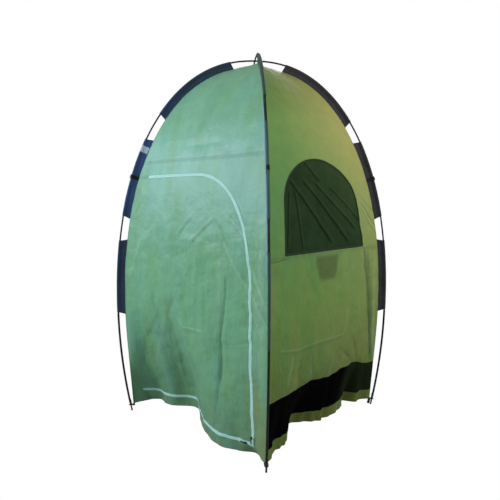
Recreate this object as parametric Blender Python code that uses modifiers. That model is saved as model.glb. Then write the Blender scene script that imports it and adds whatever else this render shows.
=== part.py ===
"""Toilet tent: a tall square cabin of cloth that hangs under two crossed, arched poles.

Metres, +Z up. The origin is on the ground, midway between the four pole feet.
The door wall faces -Y and the window wall faces +X.
"""

from math import cos, pi, sin, sqrt

import bmesh
import bpy
import numpy as np
from mathutils import Matrix, Vector

# Poles
FOOT_SPACING = 1.07
BELLY_HALF_DIAGONAL = 0.829
BELLY_HEIGHT = 0.681
LOWER_CROWN_HEIGHT = 2.122
CROWN_FULLNESS = 2.2
CROSSING_GAP = 0.0006
POLE_DIAMETER = 0.0095
LEG_TUBE_DIAMETER = 0.0125
LEG_TUBE_GAP = 0.006
POLE_BORE = 0.0052
POLE_SECTIONS = 7
SECTION_CHORDS = (5, 8, 5, 4)
SHOCK_CORD_DIAMETER = 0.003

# Ferrules and pole tips
FERRULE_LENGTH = 0.072
FERRULE_WALL = 0.0008
PLUG_CLEARANCE = 0.0003
PLUG_GAP = 0.0006
RADIUS_STEP = 0.0002
NOSE_DIAMETER = 0.010
NOSE_LENGTH = 0.0395
SHOULDER_LENGTH = 0.006
TIP_FLOOR = 0.004
TIP_SOCKET_DEPTH = 0.022

# Corner tabs and their grommets
TAB_WIDTH = 0.022
TAB_THICKNESS = 0.0014
TAB_OUTER_REACH = 0.013
TAB_INNER_REACH = 0.024
GROMMET_WIDTH = 0.0176
GROMMET_BARREL = 0.0132
GROMMET_FLANGE = 0.0008
SEAT_GAP = 0.0003

# Pole sleeves, with distances measured along the pole from the crown
SLEEVE_REACH = 0.040
CROWN_REACH = 0.022
CROWN_REACH_LENGTH = 0.15
FOOT_REACH = 0.0095
FOOT_TAPER_LENGTH = 0.45
SLEEVE_ENDS = ((0.165, 0.69), (0.842, 1.317), (1.469, 1.905))
FIRST_SLEEVE_DRIFT = {"left": -0.017, "front": 0.0, "right": 0.018, "rear": 0.0}
SLEEVE_BORE = 0.0135
SLEEVE_WALL = 0.0014
SLEEVE_FIN_THICKNESS = 0.0022
SLEEVE_BITE = 0.0005
GUY_BAND_START = 1.05
GUY_BAND_WIDTH = 0.045
GUY_BAND_THICKNESS = 0.0015

# Cloth
CLOTH_THICKNESS = 0.0015
MESH_THICKNESS = 0.001
CORNER_INSET = 0.0026
SEAM_GAP = 0.0004
FRONT_SEAM_HEIGHT = 1.517
WAIST_SEAM_HEIGHT = 1.023
VENT_TOP = 0.335
VENT_BOTTOM = 0.115
FRONT_COLUMNS = 16
WINDOW_COLUMNS = 16
BACK_COLUMNS = 10
UPPER_COLUMNS = 2
ROW_HEIGHT = 0.125
CROWN_HOLE = 0.003

# Folds that hang in the lower cloth: how far in it is drawn, where, and how far up it reaches
FRONT_FOLD_DEPTH = 0.135
FRONT_FOLD_CENTRE = -0.235
FRONT_FOLD_LEFT = 0.29
FRONT_FOLD_RIGHT = 0.40
FRONT_FOLD_REACH = 0.80
FRONT_PLEAT_DEPTH = 0.08
FRONT_PLEAT_CENTRE = -0.19
FRONT_PLEAT_HALF_WIDTH = 0.15
WINDOW_FOLD_DEPTH = 0.10
WINDOW_FOLD_CENTRE = -0.12
WINDOW_FOLD_HALF_WIDTH = 0.20
WINDOW_SIDE_FOLD_DEPTH = 0.05
WINDOW_SIDE_FOLD_CENTRE = 0.36
WINDOW_SIDE_FOLD_HALF_WIDTH = 0.13
HEM_DRAW = 0.055
HEM_DRAW_HALF_WIDTH = 0.51
HEM_DRAW_REACH = 0.40
BACK_FOLD_DEPTH = 0.07
BACK_FOLD_CENTRE = 0.15
BACK_FOLD_HALF_WIDTH = 0.26

# Door and its zip
DOOR_HINGE_X = -0.465
DOOR_RIGHT_X = 0.444
DOOR_BOTTOM = 0.105
DOOR_TOP = 1.433
DOOR_SPRING_HEIGHT = 0.80
DOOR_ARCH_POWER = 2.2
DOOR_ARCH_STEPS = 12
DOOR_GAP = 0.0005
ZIP_TAPE_WIDTH = 0.0065
ZIP_TAPE_THICKNESS = 0.001
ZIP_LOW_MARGIN = 0.012
ZIP_TOP_MARGIN = 0.075
HINGE_STANDOFF = 0.003

# Zip sliders and pulls
SLIDER_LENGTH = 0.014
SLIDER_WIDTH = 0.010
SLIDER_NOSE_WIDTH = 0.0065
SLIDER_THICKNESS = 0.0035
SLIDER_GAP = 0.0004
BRIDGE_SPAN = 0.009
BRIDGE_EYE = 0.003
BRIDGE_WIRE = 0.0018
PULL_LENGTH = 0.032
PULL_WIDTH = 0.007
PULL_THICKNESS = 0.0012
PULL_BAR = 0.0015
PULL_CLEARANCE = 0.0004
SIDE_SLIDER_HEIGHT = 0.142
SIDE_RUN_TOP = 0.35
BOTTOM_SLIDER_X = 0.405

# Window, its inner curtain and the pocket below it
WINDOW_CENTRE = -0.03
WINDOW_BASE_HALF_WIDTH = 0.39
WINDOW_SPRING_HALF_WIDTH = 0.352
WINDOW_SPRING_HEIGHT = 1.27
WINDOW_TOP = 1.515
WINDOW_BASE_MARGIN = 0.012
WINDOW_ARCH_STEPS = 12
CURTAIN_THICKNESS = 0.001
CURTAIN_OVERLAP = 0.016
CURTAIN_GAP = 0.0009
CURTAIN_STANDOFF = 0.010
CURTAIN_STANDOFF_RISE = 0.09
CURTAIN_CREASE = 0.004
CURTAIN_CREASES = 3
CURTAIN_COLUMNS = 14
POCKET_CENTRE = -0.037
POCKET_TOP_HALF_WIDTH = 0.123
POCKET_BOTTOM_HALF_WIDTH = 0.083
POCKET_TOP = 1.010
POCKET_BOTTOM = 0.872
POCKET_BULGE = 0.006
POCKET_THICKNESS = 0.0012
POCKET_COLUMNS = 8

# Derived sizes
FOOT_HALF_DIAGONAL = FOOT_SPACING / sqrt(2)
UPPER_CROWN_HEIGHT = LOWER_CROWN_HEIGHT + POLE_DIAMETER + CROSSING_GAP
POLE_RADIUS = POLE_DIAMETER / 2
FEMALE_RADIUS = POLE_RADIUS + PLUG_CLEARANCE
FERRULE_RADIUS = FEMALE_RADIUS + FERRULE_WALL
LEG_TUBE_RADIUS = LEG_TUBE_DIAMETER / 2
TIP_BORE_RADIUS = LEG_TUBE_RADIUS + PLUG_CLEARANCE
TIP_RADIUS = TIP_BORE_RADIUS + FERRULE_WALL
POLE_END = NOSE_LENGTH + SHOULDER_LENGTH + TIP_FLOOR + PLUG_GAP

# The four legs, by the way that each leans out in plan
LEGS = {"left": 225, "front": 315, "right": 45, "rear": 135}
# The four walls, by the quarter turns from the one that faces -Y
FRONT, WINDOW, REAR, LEFT = 0, 1, 2, 3

COLOURS = {
    "door_cloth": ((0.30, 0.52, 0.42), 0.7, 0.0),
    "wall_cloth": ((0.27, 0.38, 0.16), 0.7, 0.0),
    "sleeve_cloth": ((0.035, 0.05, 0.09), 0.75, 0.0),
    "webbing": ((0.02, 0.02, 0.025), 0.8, 0.0),
    "mesh_cloth": ((0.012, 0.014, 0.014), 0.85, 0.0),
    "curtain_cloth": ((0.05, 0.10, 0.05), 0.75, 0.0),
    "fibreglass": ((0.02, 0.02, 0.022), 0.35, 0.0),
    "steel": ((0.45, 0.46, 0.47), 0.35, 1.0),
    "brass": ((0.60, 0.58, 0.50), 0.3, 1.0),
    "elastic": ((0.85, 0.85, 0.82), 0.8, 0.0),
    "zip_tape": ((0.55, 0.72, 0.76), 0.6, 0.0),
    "zip_metal": ((0.06, 0.06, 0.065), 0.4, 0.9),
}


def clear_scene():
    for thing in list(bpy.data.objects):
        bpy.data.objects.remove(thing, do_unlink=True)


def collection(name):
    group = bpy.data.collections.new(name)
    bpy.context.scene.collection.children.link(group)
    return group


clear_scene()
PARTS = collection("toilet_tent")
CUTTERS = collection("cutters")


def material(name):
    made = bpy.data.materials.get(name)
    if made is None:
        colour, roughness, metallic = COLOURS[name]
        made = bpy.data.materials.new(name)
        made.use_nodes = True
        shader = made.node_tree.nodes["Principled BSDF"]
        shader.inputs["Base Color"].default_value = (*colour, 1.0)
        shader.inputs["Roughness"].default_value = roughness
        shader.inputs["Metallic"].default_value = metallic
    return made


def add_object(name, mesh, finish=None):
    """Put a mesh in the scene as a named part, or as a cutter where it has no finish."""
    thing = bpy.data.objects.new(name, mesh)
    if finish is None:
        CUTTERS.objects.link(thing)
        thing.hide_render = True
        thing.display_type = "WIRE"
    else:
        PARTS.objects.link(thing)
        mesh.materials.clear()
        mesh.materials.append(material(finish))
    return thing


def finish_mesh(name, bm):
    bmesh.ops.recalc_face_normals(bm, faces=bm.faces)
    mesh = bpy.data.meshes.new(name)
    bm.to_mesh(mesh)
    bm.free()
    return mesh


def curve_to_mesh(name, curve):
    """The welded mesh of a curve, which is then removed."""
    thing = bpy.data.objects.new(name + "_curve", curve)
    CUTTERS.objects.link(thing)
    evaluated = thing.evaluated_get(bpy.context.evaluated_depsgraph_get())
    mesh = bpy.data.meshes.new_from_object(evaluated)
    bpy.data.objects.remove(thing, do_unlink=True)
    bm = bmesh.new()
    bm.from_mesh(mesh)
    bmesh.ops.remove_doubles(bm, verts=bm.verts, dist=0.00001)
    bpy.data.meshes.remove(mesh)
    return finish_mesh(name, bm)


def tube(name, path, radii, bevel_resolution=2):
    """A round tube along the path, whose radius may change from point to point."""
    curve = bpy.data.curves.new(name, "CURVE")
    curve.dimensions = "3D"
    curve.twist_mode = "MINIMUM"
    curve.bevel_depth = radii[0]
    curve.bevel_resolution = bevel_resolution
    curve.use_fill_caps = True
    spline = curve.splines.new("POLY")
    spline.points.add(len(path) - 1)
    for knot, place, radius in zip(spline.points, path, radii):
        knot.co = (*place, 1.0)
        knot.radius = radius / radii[0]
    return curve_to_mesh(name, curve)


def plate(name, outlines, thickness):
    """A flat plate in the local XY plane, centred on it, from closed outlines; the second is a hole."""
    curve = bpy.data.curves.new(name, "CURVE")
    curve.dimensions = "2D"
    curve.fill_mode = "BOTH"
    curve.extrude = thickness / 2
    for outline in outlines:
        spline = curve.splines.new("POLY")
        spline.points.add(len(outline) - 1)
        spline.use_cyclic_u = True
        for knot, (x, y) in zip(spline.points, outline):
            knot.co = (x, y, 0.0, 1.0)
    return curve_to_mesh(name, curve)


def turned(name, profile, finish, steps=12, closed=False):
    """A turned piece: the profile runs down its outer side."""
    bm = bmesh.new()
    knots = [bm.verts.new((radius, 0.0, height)) for radius, height in profile]
    for start, end in zip(knots, knots[1:]):
        bm.edges.new((start, end))
    if closed:
        bm.edges.new((knots[-1], knots[0]))
    mesh = bpy.data.meshes.new(name)
    bm.to_mesh(mesh)
    bm.free()
    thing = add_object(name, mesh, finish)
    screw = thing.modifiers.new("Turn", "SCREW")
    screw.axis = "Z"
    screw.steps = steps
    screw.render_steps = steps
    screw.use_merge_vertices = True
    screw.merge_threshold = 0.0001
    return thing


def combine(thing, tool, operation):
    change = thing.modifiers.new(operation.title() + " " + tool.name, "BOOLEAN")
    change.operation = operation
    change.solver = "EXACT"
    change.object = tool


def attach(parent, *children):
    """Let pieces move with a parent, from where they stand."""
    bpy.context.view_layer.update()
    for child in children:
        child.parent = parent
        child.matrix_parent_inverse = parent.matrix_world.inverted()


def pivot(name, place, *movers):
    """An empty on a joint's axis, which carries the pieces that move with it."""
    empty = bpy.data.objects.new(name, None)
    PARTS.objects.link(empty)
    empty.location = place
    empty.empty_display_size = 0.05
    attach(empty, *movers)
    return empty


def arch(crown_height):
    """Closely spaced points of one half of a pole, from crown to foot: distance out and height."""
    turn = np.linspace(pi / 2, 0.0, 3000)
    out = BELLY_HALF_DIAGONAL * np.cos(turn) ** (2 / CROWN_FULLNESS)
    up = BELLY_HEIGHT + (crown_height - BELLY_HEIGHT) * np.sin(turn) ** (2 / CROWN_FULLNESS)
    out[0] = 0.0
    leg_up = np.linspace(BELLY_HEIGHT, 0.0, 1000)[1:]
    draw_in = (BELLY_HALF_DIAGONAL - FOOT_HALF_DIAGONAL) * ((BELLY_HEIGHT - leg_up) / BELLY_HEIGHT) ** 2
    return np.concatenate([out, BELLY_HALF_DIAGONAL - draw_in]), np.concatenate([up, leg_up])


def sleeve_reach(along, length):
    """Distance from the pole in to the corner seam, at a distance along the pole from its crown."""
    near_crown = CROWN_REACH + (SLEEVE_REACH - CROWN_REACH) * np.clip(along / CROWN_REACH_LENGTH, 0, 1)
    rise = np.clip((length - along) / FOOT_TAPER_LENGTH, 0, 1)
    near_foot = FOOT_REACH + (SLEEVE_REACH - FOOT_REACH) * (1 - (1 - rise) ** 2)
    return np.minimum(near_crown, near_foot)


def chords():
    """Knots of the lower pole, the upper pole and the corner seam, with their distances from the crown.

    The first chords are those of half the section at the crown, then come the whole sections below it.
    """
    low_out, low_up = arch(LOWER_CROWN_HEIGHT)
    high_out, high_up = arch(UPPER_CROWN_HEIGHT)
    steps = np.hypot(np.diff(low_out), np.diff(low_up))
    along = np.concatenate([[0.0], np.cumsum(steps)])
    slope_out = np.gradient(low_out, along)
    slope_up = np.gradient(low_up, along)
    reach = sleeve_reach(along, along[-1])
    seam_out = low_out + slope_up * reach
    seam_up = low_up - slope_out * reach
    seam_out[0] = 0.0
    section = 2 * along[-1] / POLE_SECTIONS
    ends = section * (np.arange(len(SECTION_CHORDS) + 1) - 0.5)
    ends[0] = 0.0
    parts = [np.linspace(low, high, count + 1)[1:] for low, high, count in zip(ends, ends[1:], SECTION_CHORDS)]
    marks = np.concatenate([[0.0], *parts])
    lines = ((low_out, low_up), (high_out, high_up), (seam_out, seam_up))
    knots = [np.stack([np.interp(marks, along, out), np.interp(marks, along, up)], 1) for out, up in lines]
    return marks, *knots


MARKS, LOWER_POLE, UPPER_POLE, SEAM = chords()
HALF_LENGTH = MARKS[-1]
LAST_JOINT = HALF_LENGTH * (1 - 2 / POLE_SECTIONS)
LEG_TUBE_START = max(SLEEVE_ENDS[-1][1], LAST_JOINT + FERRULE_LENGTH / 2) + LEG_TUBE_GAP
LEG_POLES = {"left": LOWER_POLE, "right": LOWER_POLE, "front": UPPER_POLE, "rear": UPPER_POLE}


def on_line(line, along):
    """Distance out and height at a distance along from the crown."""
    return float(np.interp(along, MARKS, line[:, 0])), float(np.interp(along, MARKS, line[:, 1]))


def along_at_height(height):
    return float(np.interp(-height, -SEAM[:, 1], MARKS))


def marks_between(low, high, margin=0.004):
    return [mark for mark in MARKS if low + margin < mark < high - margin]


def wall_depth(height):
    """How far a wall stands from the middle of the tent at a height, without its folds."""
    return on_line(SEAM, along_at_height(height))[0] / sqrt(2)


def leg_frame(leg):
    """Directions of a leg's upright plane: out along the diagonal, and square to that plane."""
    angle = LEGS[leg] * pi / 180
    return Vector((cos(angle), sin(angle), 0.0)), Vector((-sin(angle), cos(angle), 0.0))


def leg_point(leg, out, up, aside=0.0):
    outward, square = leg_frame(leg)
    return outward * out + square * aside + Vector((0.0, 0.0, up))


def pole_point(legs, along):
    """A point of a whole pole: negative distances lie on the first leg, positive ones on the second."""
    leg = legs[0] if along < 0 else legs[1]
    return leg_point(leg, *on_line(LEG_POLES[leg], abs(along)))


def pole_path(legs, start, end, extra=()):
    both = {*MARKS, *(-MARKS)}
    inner = [mark for mark in both if start + 0.004 < mark < end - 0.004]
    places = sorted([start, end, *extra, *inner])
    return places, [pole_point(legs, place) for place in places]


def stretched(path, length):
    """The same path, run on at both ends so that a cutter clears the faces it cuts."""
    first = path[0] + (path[0] - path[1]).normalized() * length
    last = path[-1] + (path[-1] - path[-2]).normalized() * length
    return [first, *path[1:-1], last]


def outer_radius(place):
    """A pole is thicker below its sleeves, where a leg tube covers it."""
    return LEG_TUBE_RADIUS if abs(place) > LEG_TUBE_START - RADIUS_STEP / 2 else POLE_RADIUS


def leg_tube_steps(start, end):
    """The places of a section where the leg tube begins, on either leg."""
    step = (LEG_TUBE_START - RADIUS_STEP, LEG_TUBE_START)
    return [place for place in (-step[1], -step[0], *step) if start < place < end]


def make_pole(name, legs):
    """The sections of one pole, each but the last with a ferrule that takes the next one's plug."""
    half_ferrule = FERRULE_LENGTH / 2
    foot = HALF_LENGTH - POLE_END
    section_length = 2 * HALF_LENGTH / POLE_SECTIONS
    for number in range(POLE_SECTIONS):
        low_joint = number * section_length - HALF_LENGTH
        joint = low_joint + section_length
        start = -foot if number == 0 else low_joint + PLUG_GAP
        title = f"{name}_section_{number + 1}"
        if number < POLE_SECTIONS - 1:
            swell = joint - half_ferrule
            steps = leg_tube_steps(start, swell)
            places, path = pole_path(legs, start, joint + half_ferrule, (swell - RADIUS_STEP, swell, *steps))
            radii = [outer_radius(place) if place < swell else FERRULE_RADIUS for place in places]
            places, bore_path = pole_path(legs, start, joint + half_ferrule, (joint - RADIUS_STEP,))
            socket = joint - RADIUS_STEP / 2
            bores = [POLE_BORE / 2 if place < socket else FEMALE_RADIUS for place in places]
        else:
            places, path = pole_path(legs, start, foot, leg_tube_steps(start, foot))
            radii = [outer_radius(place) for place in places]
            bore_path = path
            bores = [POLE_BORE / 2] * len(path)
        section = add_object(title, tube(title, path, radii), "fibreglass")
        bore = add_object(title + "_bore", tube(title + "_bore", stretched(bore_path, 0.002), bores))
        combine(section, bore, "DIFFERENCE")
        section.data.set_sharp_from_angle(angle=pi / 3)
    cord_end = foot - SEAT_GAP
    path = pole_path(legs, -cord_end, cord_end)[1]
    cord = tube(name + "_shock_cord", path, [SHOCK_CORD_DIAMETER / 2] * len(path), 1)
    add_object(name + "_shock_cord", cord, "elastic")


def foot_frame(leg):
    """Where a leg's tip stands, with local Z up along its last chord and local X out from it."""
    line = LEG_POLES[leg]
    foot = leg_point(leg, *line[-1])
    up = (leg_point(leg, *line[-2]) - foot).normalized()
    aside = leg_frame(leg)[1]
    away = aside.cross(up)
    turn = Matrix((away, aside, up)).transposed().to_4x4()
    return Matrix.Translation(foot) @ turn


TAB_TOP = NOSE_LENGTH - SEAT_GAP - GROMMET_FLANGE - SEAT_GAP
HEM_HEIGHT = (foot_frame("front") @ Vector((-TAB_INNER_REACH, 0.0, TAB_TOP))).z + SEAT_GAP


def ground_cutter():
    bm = bmesh.new()
    bmesh.ops.create_cube(bm, size=1.0, matrix=Matrix.Diagonal((2.0, 2.0, 0.1, 1.0)))
    ground = add_object("ground_cutter", finish_mesh("ground_cutter", bm))
    ground.location.z = -0.05
    return ground


def make_tip(leg, ground):
    """A steel tip: a socket round the pole's end, a shoulder and a nose cut flat on the ground."""
    shoulder_top = NOSE_LENGTH + SHOULDER_LENGTH
    floor = shoulder_top + TIP_FLOOR
    rim = floor + TIP_SOCKET_DEPTH
    profile = (
        (0.0, floor),
        (TIP_BORE_RADIUS, floor),
        (TIP_BORE_RADIUS, rim),
        (TIP_RADIUS, rim),
        (TIP_RADIUS, shoulder_top),
        (NOSE_DIAMETER / 2 + 0.001, NOSE_LENGTH),
        (NOSE_DIAMETER / 2, NOSE_LENGTH),
        (NOSE_DIAMETER / 2, -0.003),
        (0.0, -0.003),
    )
    tip = turned(f"{leg}_pole_tip", profile, "steel")
    tip.matrix_world = foot_frame(leg)
    combine(tip, ground, "DIFFERENCE")


def make_tab(leg):
    """A webbing tab under the cloth's corner, with the grommet that the pole's nose stands in."""
    frame = foot_frame(leg)
    round_end = [(TAB_WIDTH / 2 * sin(turn), TAB_WIDTH / 2 * cos(turn)) for turn in np.linspace(0, pi, 7)]
    nose_end = [(x * TAB_OUTER_REACH / (TAB_WIDTH / 2), y) for x, y in round_end]
    outline = [(-TAB_INNER_REACH, TAB_WIDTH / 2), *nose_end, (-TAB_INNER_REACH, -TAB_WIDTH / 2)]
    hole = GROMMET_BARREL / 2 + SEAT_GAP
    circle = [(hole * cos(turn), hole * sin(turn)) for turn in np.linspace(0, 2 * pi, 13)[:-1]]
    tab = add_object(f"{leg}_corner_tab", plate(f"{leg}_corner_tab", (outline, circle), TAB_THICKNESS), "webbing")
    tab.matrix_world = frame @ Matrix.Translation((0.0, 0.0, TAB_TOP - TAB_THICKNESS / 2))
    inner = NOSE_DIAMETER / 2 + SEAT_GAP
    barrel = GROMMET_BARREL / 2
    brim = GROMMET_WIDTH / 2
    upper = TAB_THICKNESS / 2 + SEAT_GAP
    profile = (
        (inner, upper + GROMMET_FLANGE),
        (brim, upper + GROMMET_FLANGE),
        (brim, upper),
        (barrel, upper),
        (barrel, -upper),
        (brim, -upper),
        (brim, -upper - GROMMET_FLANGE),
        (inner, -upper - GROMMET_FLANGE),
    )
    grommet = turned(f"{leg}_grommet", profile, "brass", steps=10, closed=True)
    grommet.matrix_world = tab.matrix_world


def sleeve_ring(leg, along, swell):
    """The outline of a sleeve at one place: round the pole, then a flat fin in to the corner seam."""
    centre = leg_point(leg, *on_line(LEG_POLES[leg], along))
    inward = leg_point(leg, *on_line(SEAM, along)) - centre
    reach = inward.length + SLEEVE_BITE
    inward.normalize()
    square = leg_frame(leg)[1]
    radius = SLEEVE_BORE / 2 + SLEEVE_WALL + swell
    neck = radius * 1.7
    fin = SLEEVE_FIN_THICKNESS / 2
    turns = [angle * pi / 180 for angle in (125, 75, 25, -25, -75, -125)]
    loop = [(-radius * cos(turn), radius * sin(turn)) for turn in turns]
    outline = [(reach, fin), (neck, fin + swell), *loop, (neck, -fin - swell), (reach, -fin)]
    return [centre + inward * inset + square * aside for inset, aside in outline]


def sleeve_places(start, end):
    """Where a sleeve's rings lie, and how much each swells over the webbing band of the middle one."""
    marks = marks_between(start, end, 0.02)
    band_end = GUY_BAND_START + GUY_BAND_WIDTH
    if not start < GUY_BAND_START < end:
        return [(place, 0.0) for place in (start, *marks, end)]
    plain = [place for place in (start, *marks, end) if not GUY_BAND_START - 0.01 < place < band_end + 0.01]
    edges = [(GUY_BAND_START - RADIUS_STEP, 0.0), (GUY_BAND_START, GUY_BAND_THICKNESS)]
    edges += [(band_end, GUY_BAND_THICKNESS), (band_end + RADIUS_STEP, 0.0)]
    inner = [(mark, GUY_BAND_THICKNESS) for mark in marks_between(GUY_BAND_START, band_end)]
    return sorted([(place, 0.0) for place in plain] + edges + inner)


def make_sleeve(leg, number, start, end):
    """One sleeve of a leg. The middle one carries the webbing band that a guy line would tie to."""
    name = f"{leg}_sleeve_{number}"
    bm = bmesh.new()
    rings = [[bm.verts.new(corner) for corner in sleeve_ring(leg, *place)] for place in sleeve_places(start, end)]
    for ring, following in zip(rings, rings[1:]):
        for index, corner in enumerate(ring):
            after = (index + 1) % len(ring)
            bm.faces.new((corner, ring[after], following[after], following[index]))
    bm.faces.new(rings[0][::-1])
    bm.faces.new(rings[-1])
    sleeve = add_object(name, finish_mesh(name, bm), "sleeve_cloth")
    path = [leg_point(leg, *on_line(LEG_POLES[leg], place)) for place in (start, *marks_between(start, end), end)]
    channel = tube(name + "_channel", stretched(path, 0.003), [SLEEVE_BORE / 2] * len(path))
    combine(sleeve, add_object(name + "_channel", channel), "DIFFERENCE")


def swelling(place, half_width, power=2):
    """A smooth hump, one in the middle and nought at its edges."""
    share = min(1.0, abs(place) / half_width)
    return (1.0 - share**power) ** 2


def drape(height, reach):
    """How much of a fold is left at a height: all at the hem, none above its reach."""
    share = min(1.0, max(0.0, (height - HEM_HEIGHT) / reach))
    return 1.0 - share * share * (3.0 - 2.0 * share)


def front_fold(x, height):
    offset = x - FRONT_FOLD_CENTRE
    if offset < 0:
        fold = swelling(offset, FRONT_FOLD_LEFT, 6)
    else:
        fold = swelling(offset, FRONT_FOLD_RIGHT, 2.6)
    pleat = swelling(x - FRONT_PLEAT_CENTRE, FRONT_PLEAT_HALF_WIDTH)
    return (FRONT_FOLD_DEPTH * fold + FRONT_PLEAT_DEPTH * pleat) * drape(height, FRONT_FOLD_REACH)


def hem_draw(x, height):
    return HEM_DRAW * swelling(x, HEM_DRAW_HALF_WIDTH, 6) * drape(height, HEM_DRAW_REACH)


def window_fold(x, height):
    main = swelling(x - WINDOW_FOLD_CENTRE, WINDOW_FOLD_HALF_WIDTH)
    side = swelling(x - WINDOW_SIDE_FOLD_CENTRE, WINDOW_SIDE_FOLD_HALF_WIDTH)
    folds = WINDOW_FOLD_DEPTH * main + WINDOW_SIDE_FOLD_DEPTH * side
    return hem_draw(x, height) + folds * drape(height, HEM_DRAW_REACH)


def back_fold(x, height):
    fold = swelling(x - BACK_FOLD_CENTRE, BACK_FOLD_HALF_WIDTH)
    return hem_draw(x, height) + BACK_FOLD_DEPTH * fold * drape(height, FRONT_FOLD_REACH)


WALL_FOLDS = {FRONT: front_fold, WINDOW: window_fold, REAR: back_fold, LEFT: back_fold}


def rows_between(low, high):
    """Distances along the seam from a low height up to a high one: the pole's knots, and rows between."""
    first, last = along_at_height(low), along_at_height(high)
    stops = [first, *marks_between(last, first, 0.015)[::-1], last]
    rows = [first]
    for start, end in zip(stops, stops[1:]):
        count = max(1, round((start - end) / ROW_HEIGHT))
        rows += list(np.linspace(start, end, count + 1)[1:])
    return rows


def wall_point(side, along, share):
    """A point of a wall's outer face, on the wall that faces -Y; share runs from -1 to 1 across it."""
    out, up = on_line(SEAM, along)
    deep = out / sqrt(2)
    x = share * (deep - min(CORNER_INSET, deep * 0.4))
    return Vector((x, WALL_FOLDS[side](x, up) - deep, up))


def cloth(name, side, rows, columns, finish, thickness=CLOTH_THICKNESS, lift=0.0, shape=None):
    """A sheet of one wall, with thickness inward. The shape gives how far in each point is drawn."""
    bm = bmesh.new()
    bmesh.ops.create_grid(bm, x_segments=columns, y_segments=len(rows) - 1, size=1.0)
    for vert in bm.verts:
        row = round((vert.co.y + 1) / 2 * (len(rows) - 1))
        vert.co = wall_point(side, rows[row], vert.co.x)
    bmesh.ops.triangulate(bm, faces=bm.faces, quad_method="FIXED")
    bm.normal_update()
    normals = [vert.normal.copy() for vert in bm.verts]
    for vert, normal in zip(bm.verts, normals):
        inward = shape(vert.co.x, vert.co.z) if shape else 0.0
        vert.co += normal * (lift - inward)
    mesh = bpy.data.meshes.new(name)
    bm.to_mesh(mesh)
    bm.free()
    mesh.transform(Matrix.Rotation(side * pi / 2, 4, "Z"))
    sheet = add_object(name, mesh, finish)
    shell = sheet.modifiers.new("Thickness", "SOLIDIFY")
    shell.thickness = thickness
    shell.offset = -1.0
    return sheet


def wall_prism(name, side, outline, centre_depth=0.5, depth=0.9):
    """A cutter through one wall, from an outline in the wall's own width and height."""
    mesh = plate(name, (outline,), depth)
    stand = Matrix.Translation((0.0, -centre_depth, 0.0)) @ Matrix.Rotation(pi / 2, 4, "X")
    mesh.transform(Matrix.Rotation(side * pi / 2, 4, "Z") @ stand)
    return add_object(name, mesh)


def door_zip_line(inset=0.0):
    """The door's zipped edge, from its bottom left up its right side and back over its top."""
    right = DOOR_RIGHT_X - inset
    spring = DOOR_SPRING_HEIGHT
    rise = DOOR_TOP - inset - spring
    turns = np.linspace(0, pi / 2, DOOR_ARCH_STEPS + 1)
    power = 2 / DOOR_ARCH_POWER
    crown = [(right * cos(turn) ** power, spring + rise * sin(turn) ** power) for turn in turns]
    crown[-1] = (0.0, DOOR_TOP - inset)
    return [(right, DOOR_BOTTOM + inset), *crown]


def door_outline(inset):
    left = DOOR_HINGE_X + inset
    return [(left, DOOR_BOTTOM + inset), *door_zip_line(inset), (left, DOOR_TOP - inset)]


def beside(line, distance):
    """The line moved to its right by a distance, square to its own direction at each point."""
    points = [Vector(point) for point in line]
    moved = []
    for index, point in enumerate(points):
        before = (point - points[index - 1]).normalized() if index else None
        after = (points[index + 1] - point).normalized() if index < len(points) - 1 else None
        ways = [way for way in (before, after) if way is not None]
        square = sum((Vector((way.y, -way.x)) for way in ways), Vector((0.0, 0.0))).normalized()
        first = Vector((ways[0].y, -ways[0].x))
        moved.append(tuple(point + square * (distance / square.dot(first))))
    return moved


def zip_strip(near, far):
    start = (DOOR_HINGE_X + ZIP_LOW_MARGIN, DOOR_BOTTOM)
    finish = (DOOR_HINGE_X + ZIP_TOP_MARGIN, DOOR_TOP)
    line = [start, *door_zip_line(), finish]
    return beside(line, near) + beside(line, far)[::-1]


def make_front(rows):
    """The door wall, its door panel and the two tapes of the door's zip."""
    wall = cloth("front_wall", FRONT, rows, FRONT_COLUMNS, "door_cloth")
    combine(wall, wall_prism("doorway", FRONT, door_outline(0.0)), "DIFFERENCE")
    door = cloth("door_panel", FRONT, rows, FRONT_COLUMNS, "door_cloth")
    combine(door, wall_prism("door_shape", FRONT, door_outline(DOOR_GAP)), "INTERSECT")
    lift = SEAT_GAP + ZIP_TAPE_THICKNESS
    tapes = []
    half_gap = DOOR_GAP / 2
    for name, near, far in (
        ("door_zip_wall_tape", half_gap, half_gap + ZIP_TAPE_WIDTH),
        ("door_zip_door_tape", -DOOR_GAP - half_gap - ZIP_TAPE_WIDTH, -DOOR_GAP - half_gap),
    ):
        tape = cloth(name, FRONT, rows, FRONT_COLUMNS, "zip_tape", ZIP_TAPE_THICKNESS, lift)
        combine(tape, wall_prism(name + "_shape", FRONT, zip_strip(near, far)), "INTERSECT")
        tapes.append(tape)
    return door, tapes[1]


def window_outline(growth, base):
    """The window's arch, grown by a margin, down to a base height."""
    springing = WINDOW_SPRING_HEIGHT
    half = WINDOW_SPRING_HALF_WIDTH + growth
    rise = WINDOW_TOP - springing + growth
    flare = (WINDOW_BASE_HALF_WIDTH - WINDOW_SPRING_HALF_WIDTH) / (springing - WAIST_SEAM_HEIGHT)
    base_half = half + flare * (springing - base)
    turns = np.linspace(0, pi, WINDOW_ARCH_STEPS + 1)
    crown = [(WINDOW_CENTRE + half * cos(turn), springing + rise * sin(turn)) for turn in turns]
    return [(WINDOW_CENTRE - base_half, base), (WINDOW_CENTRE + base_half, base), *crown]


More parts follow.
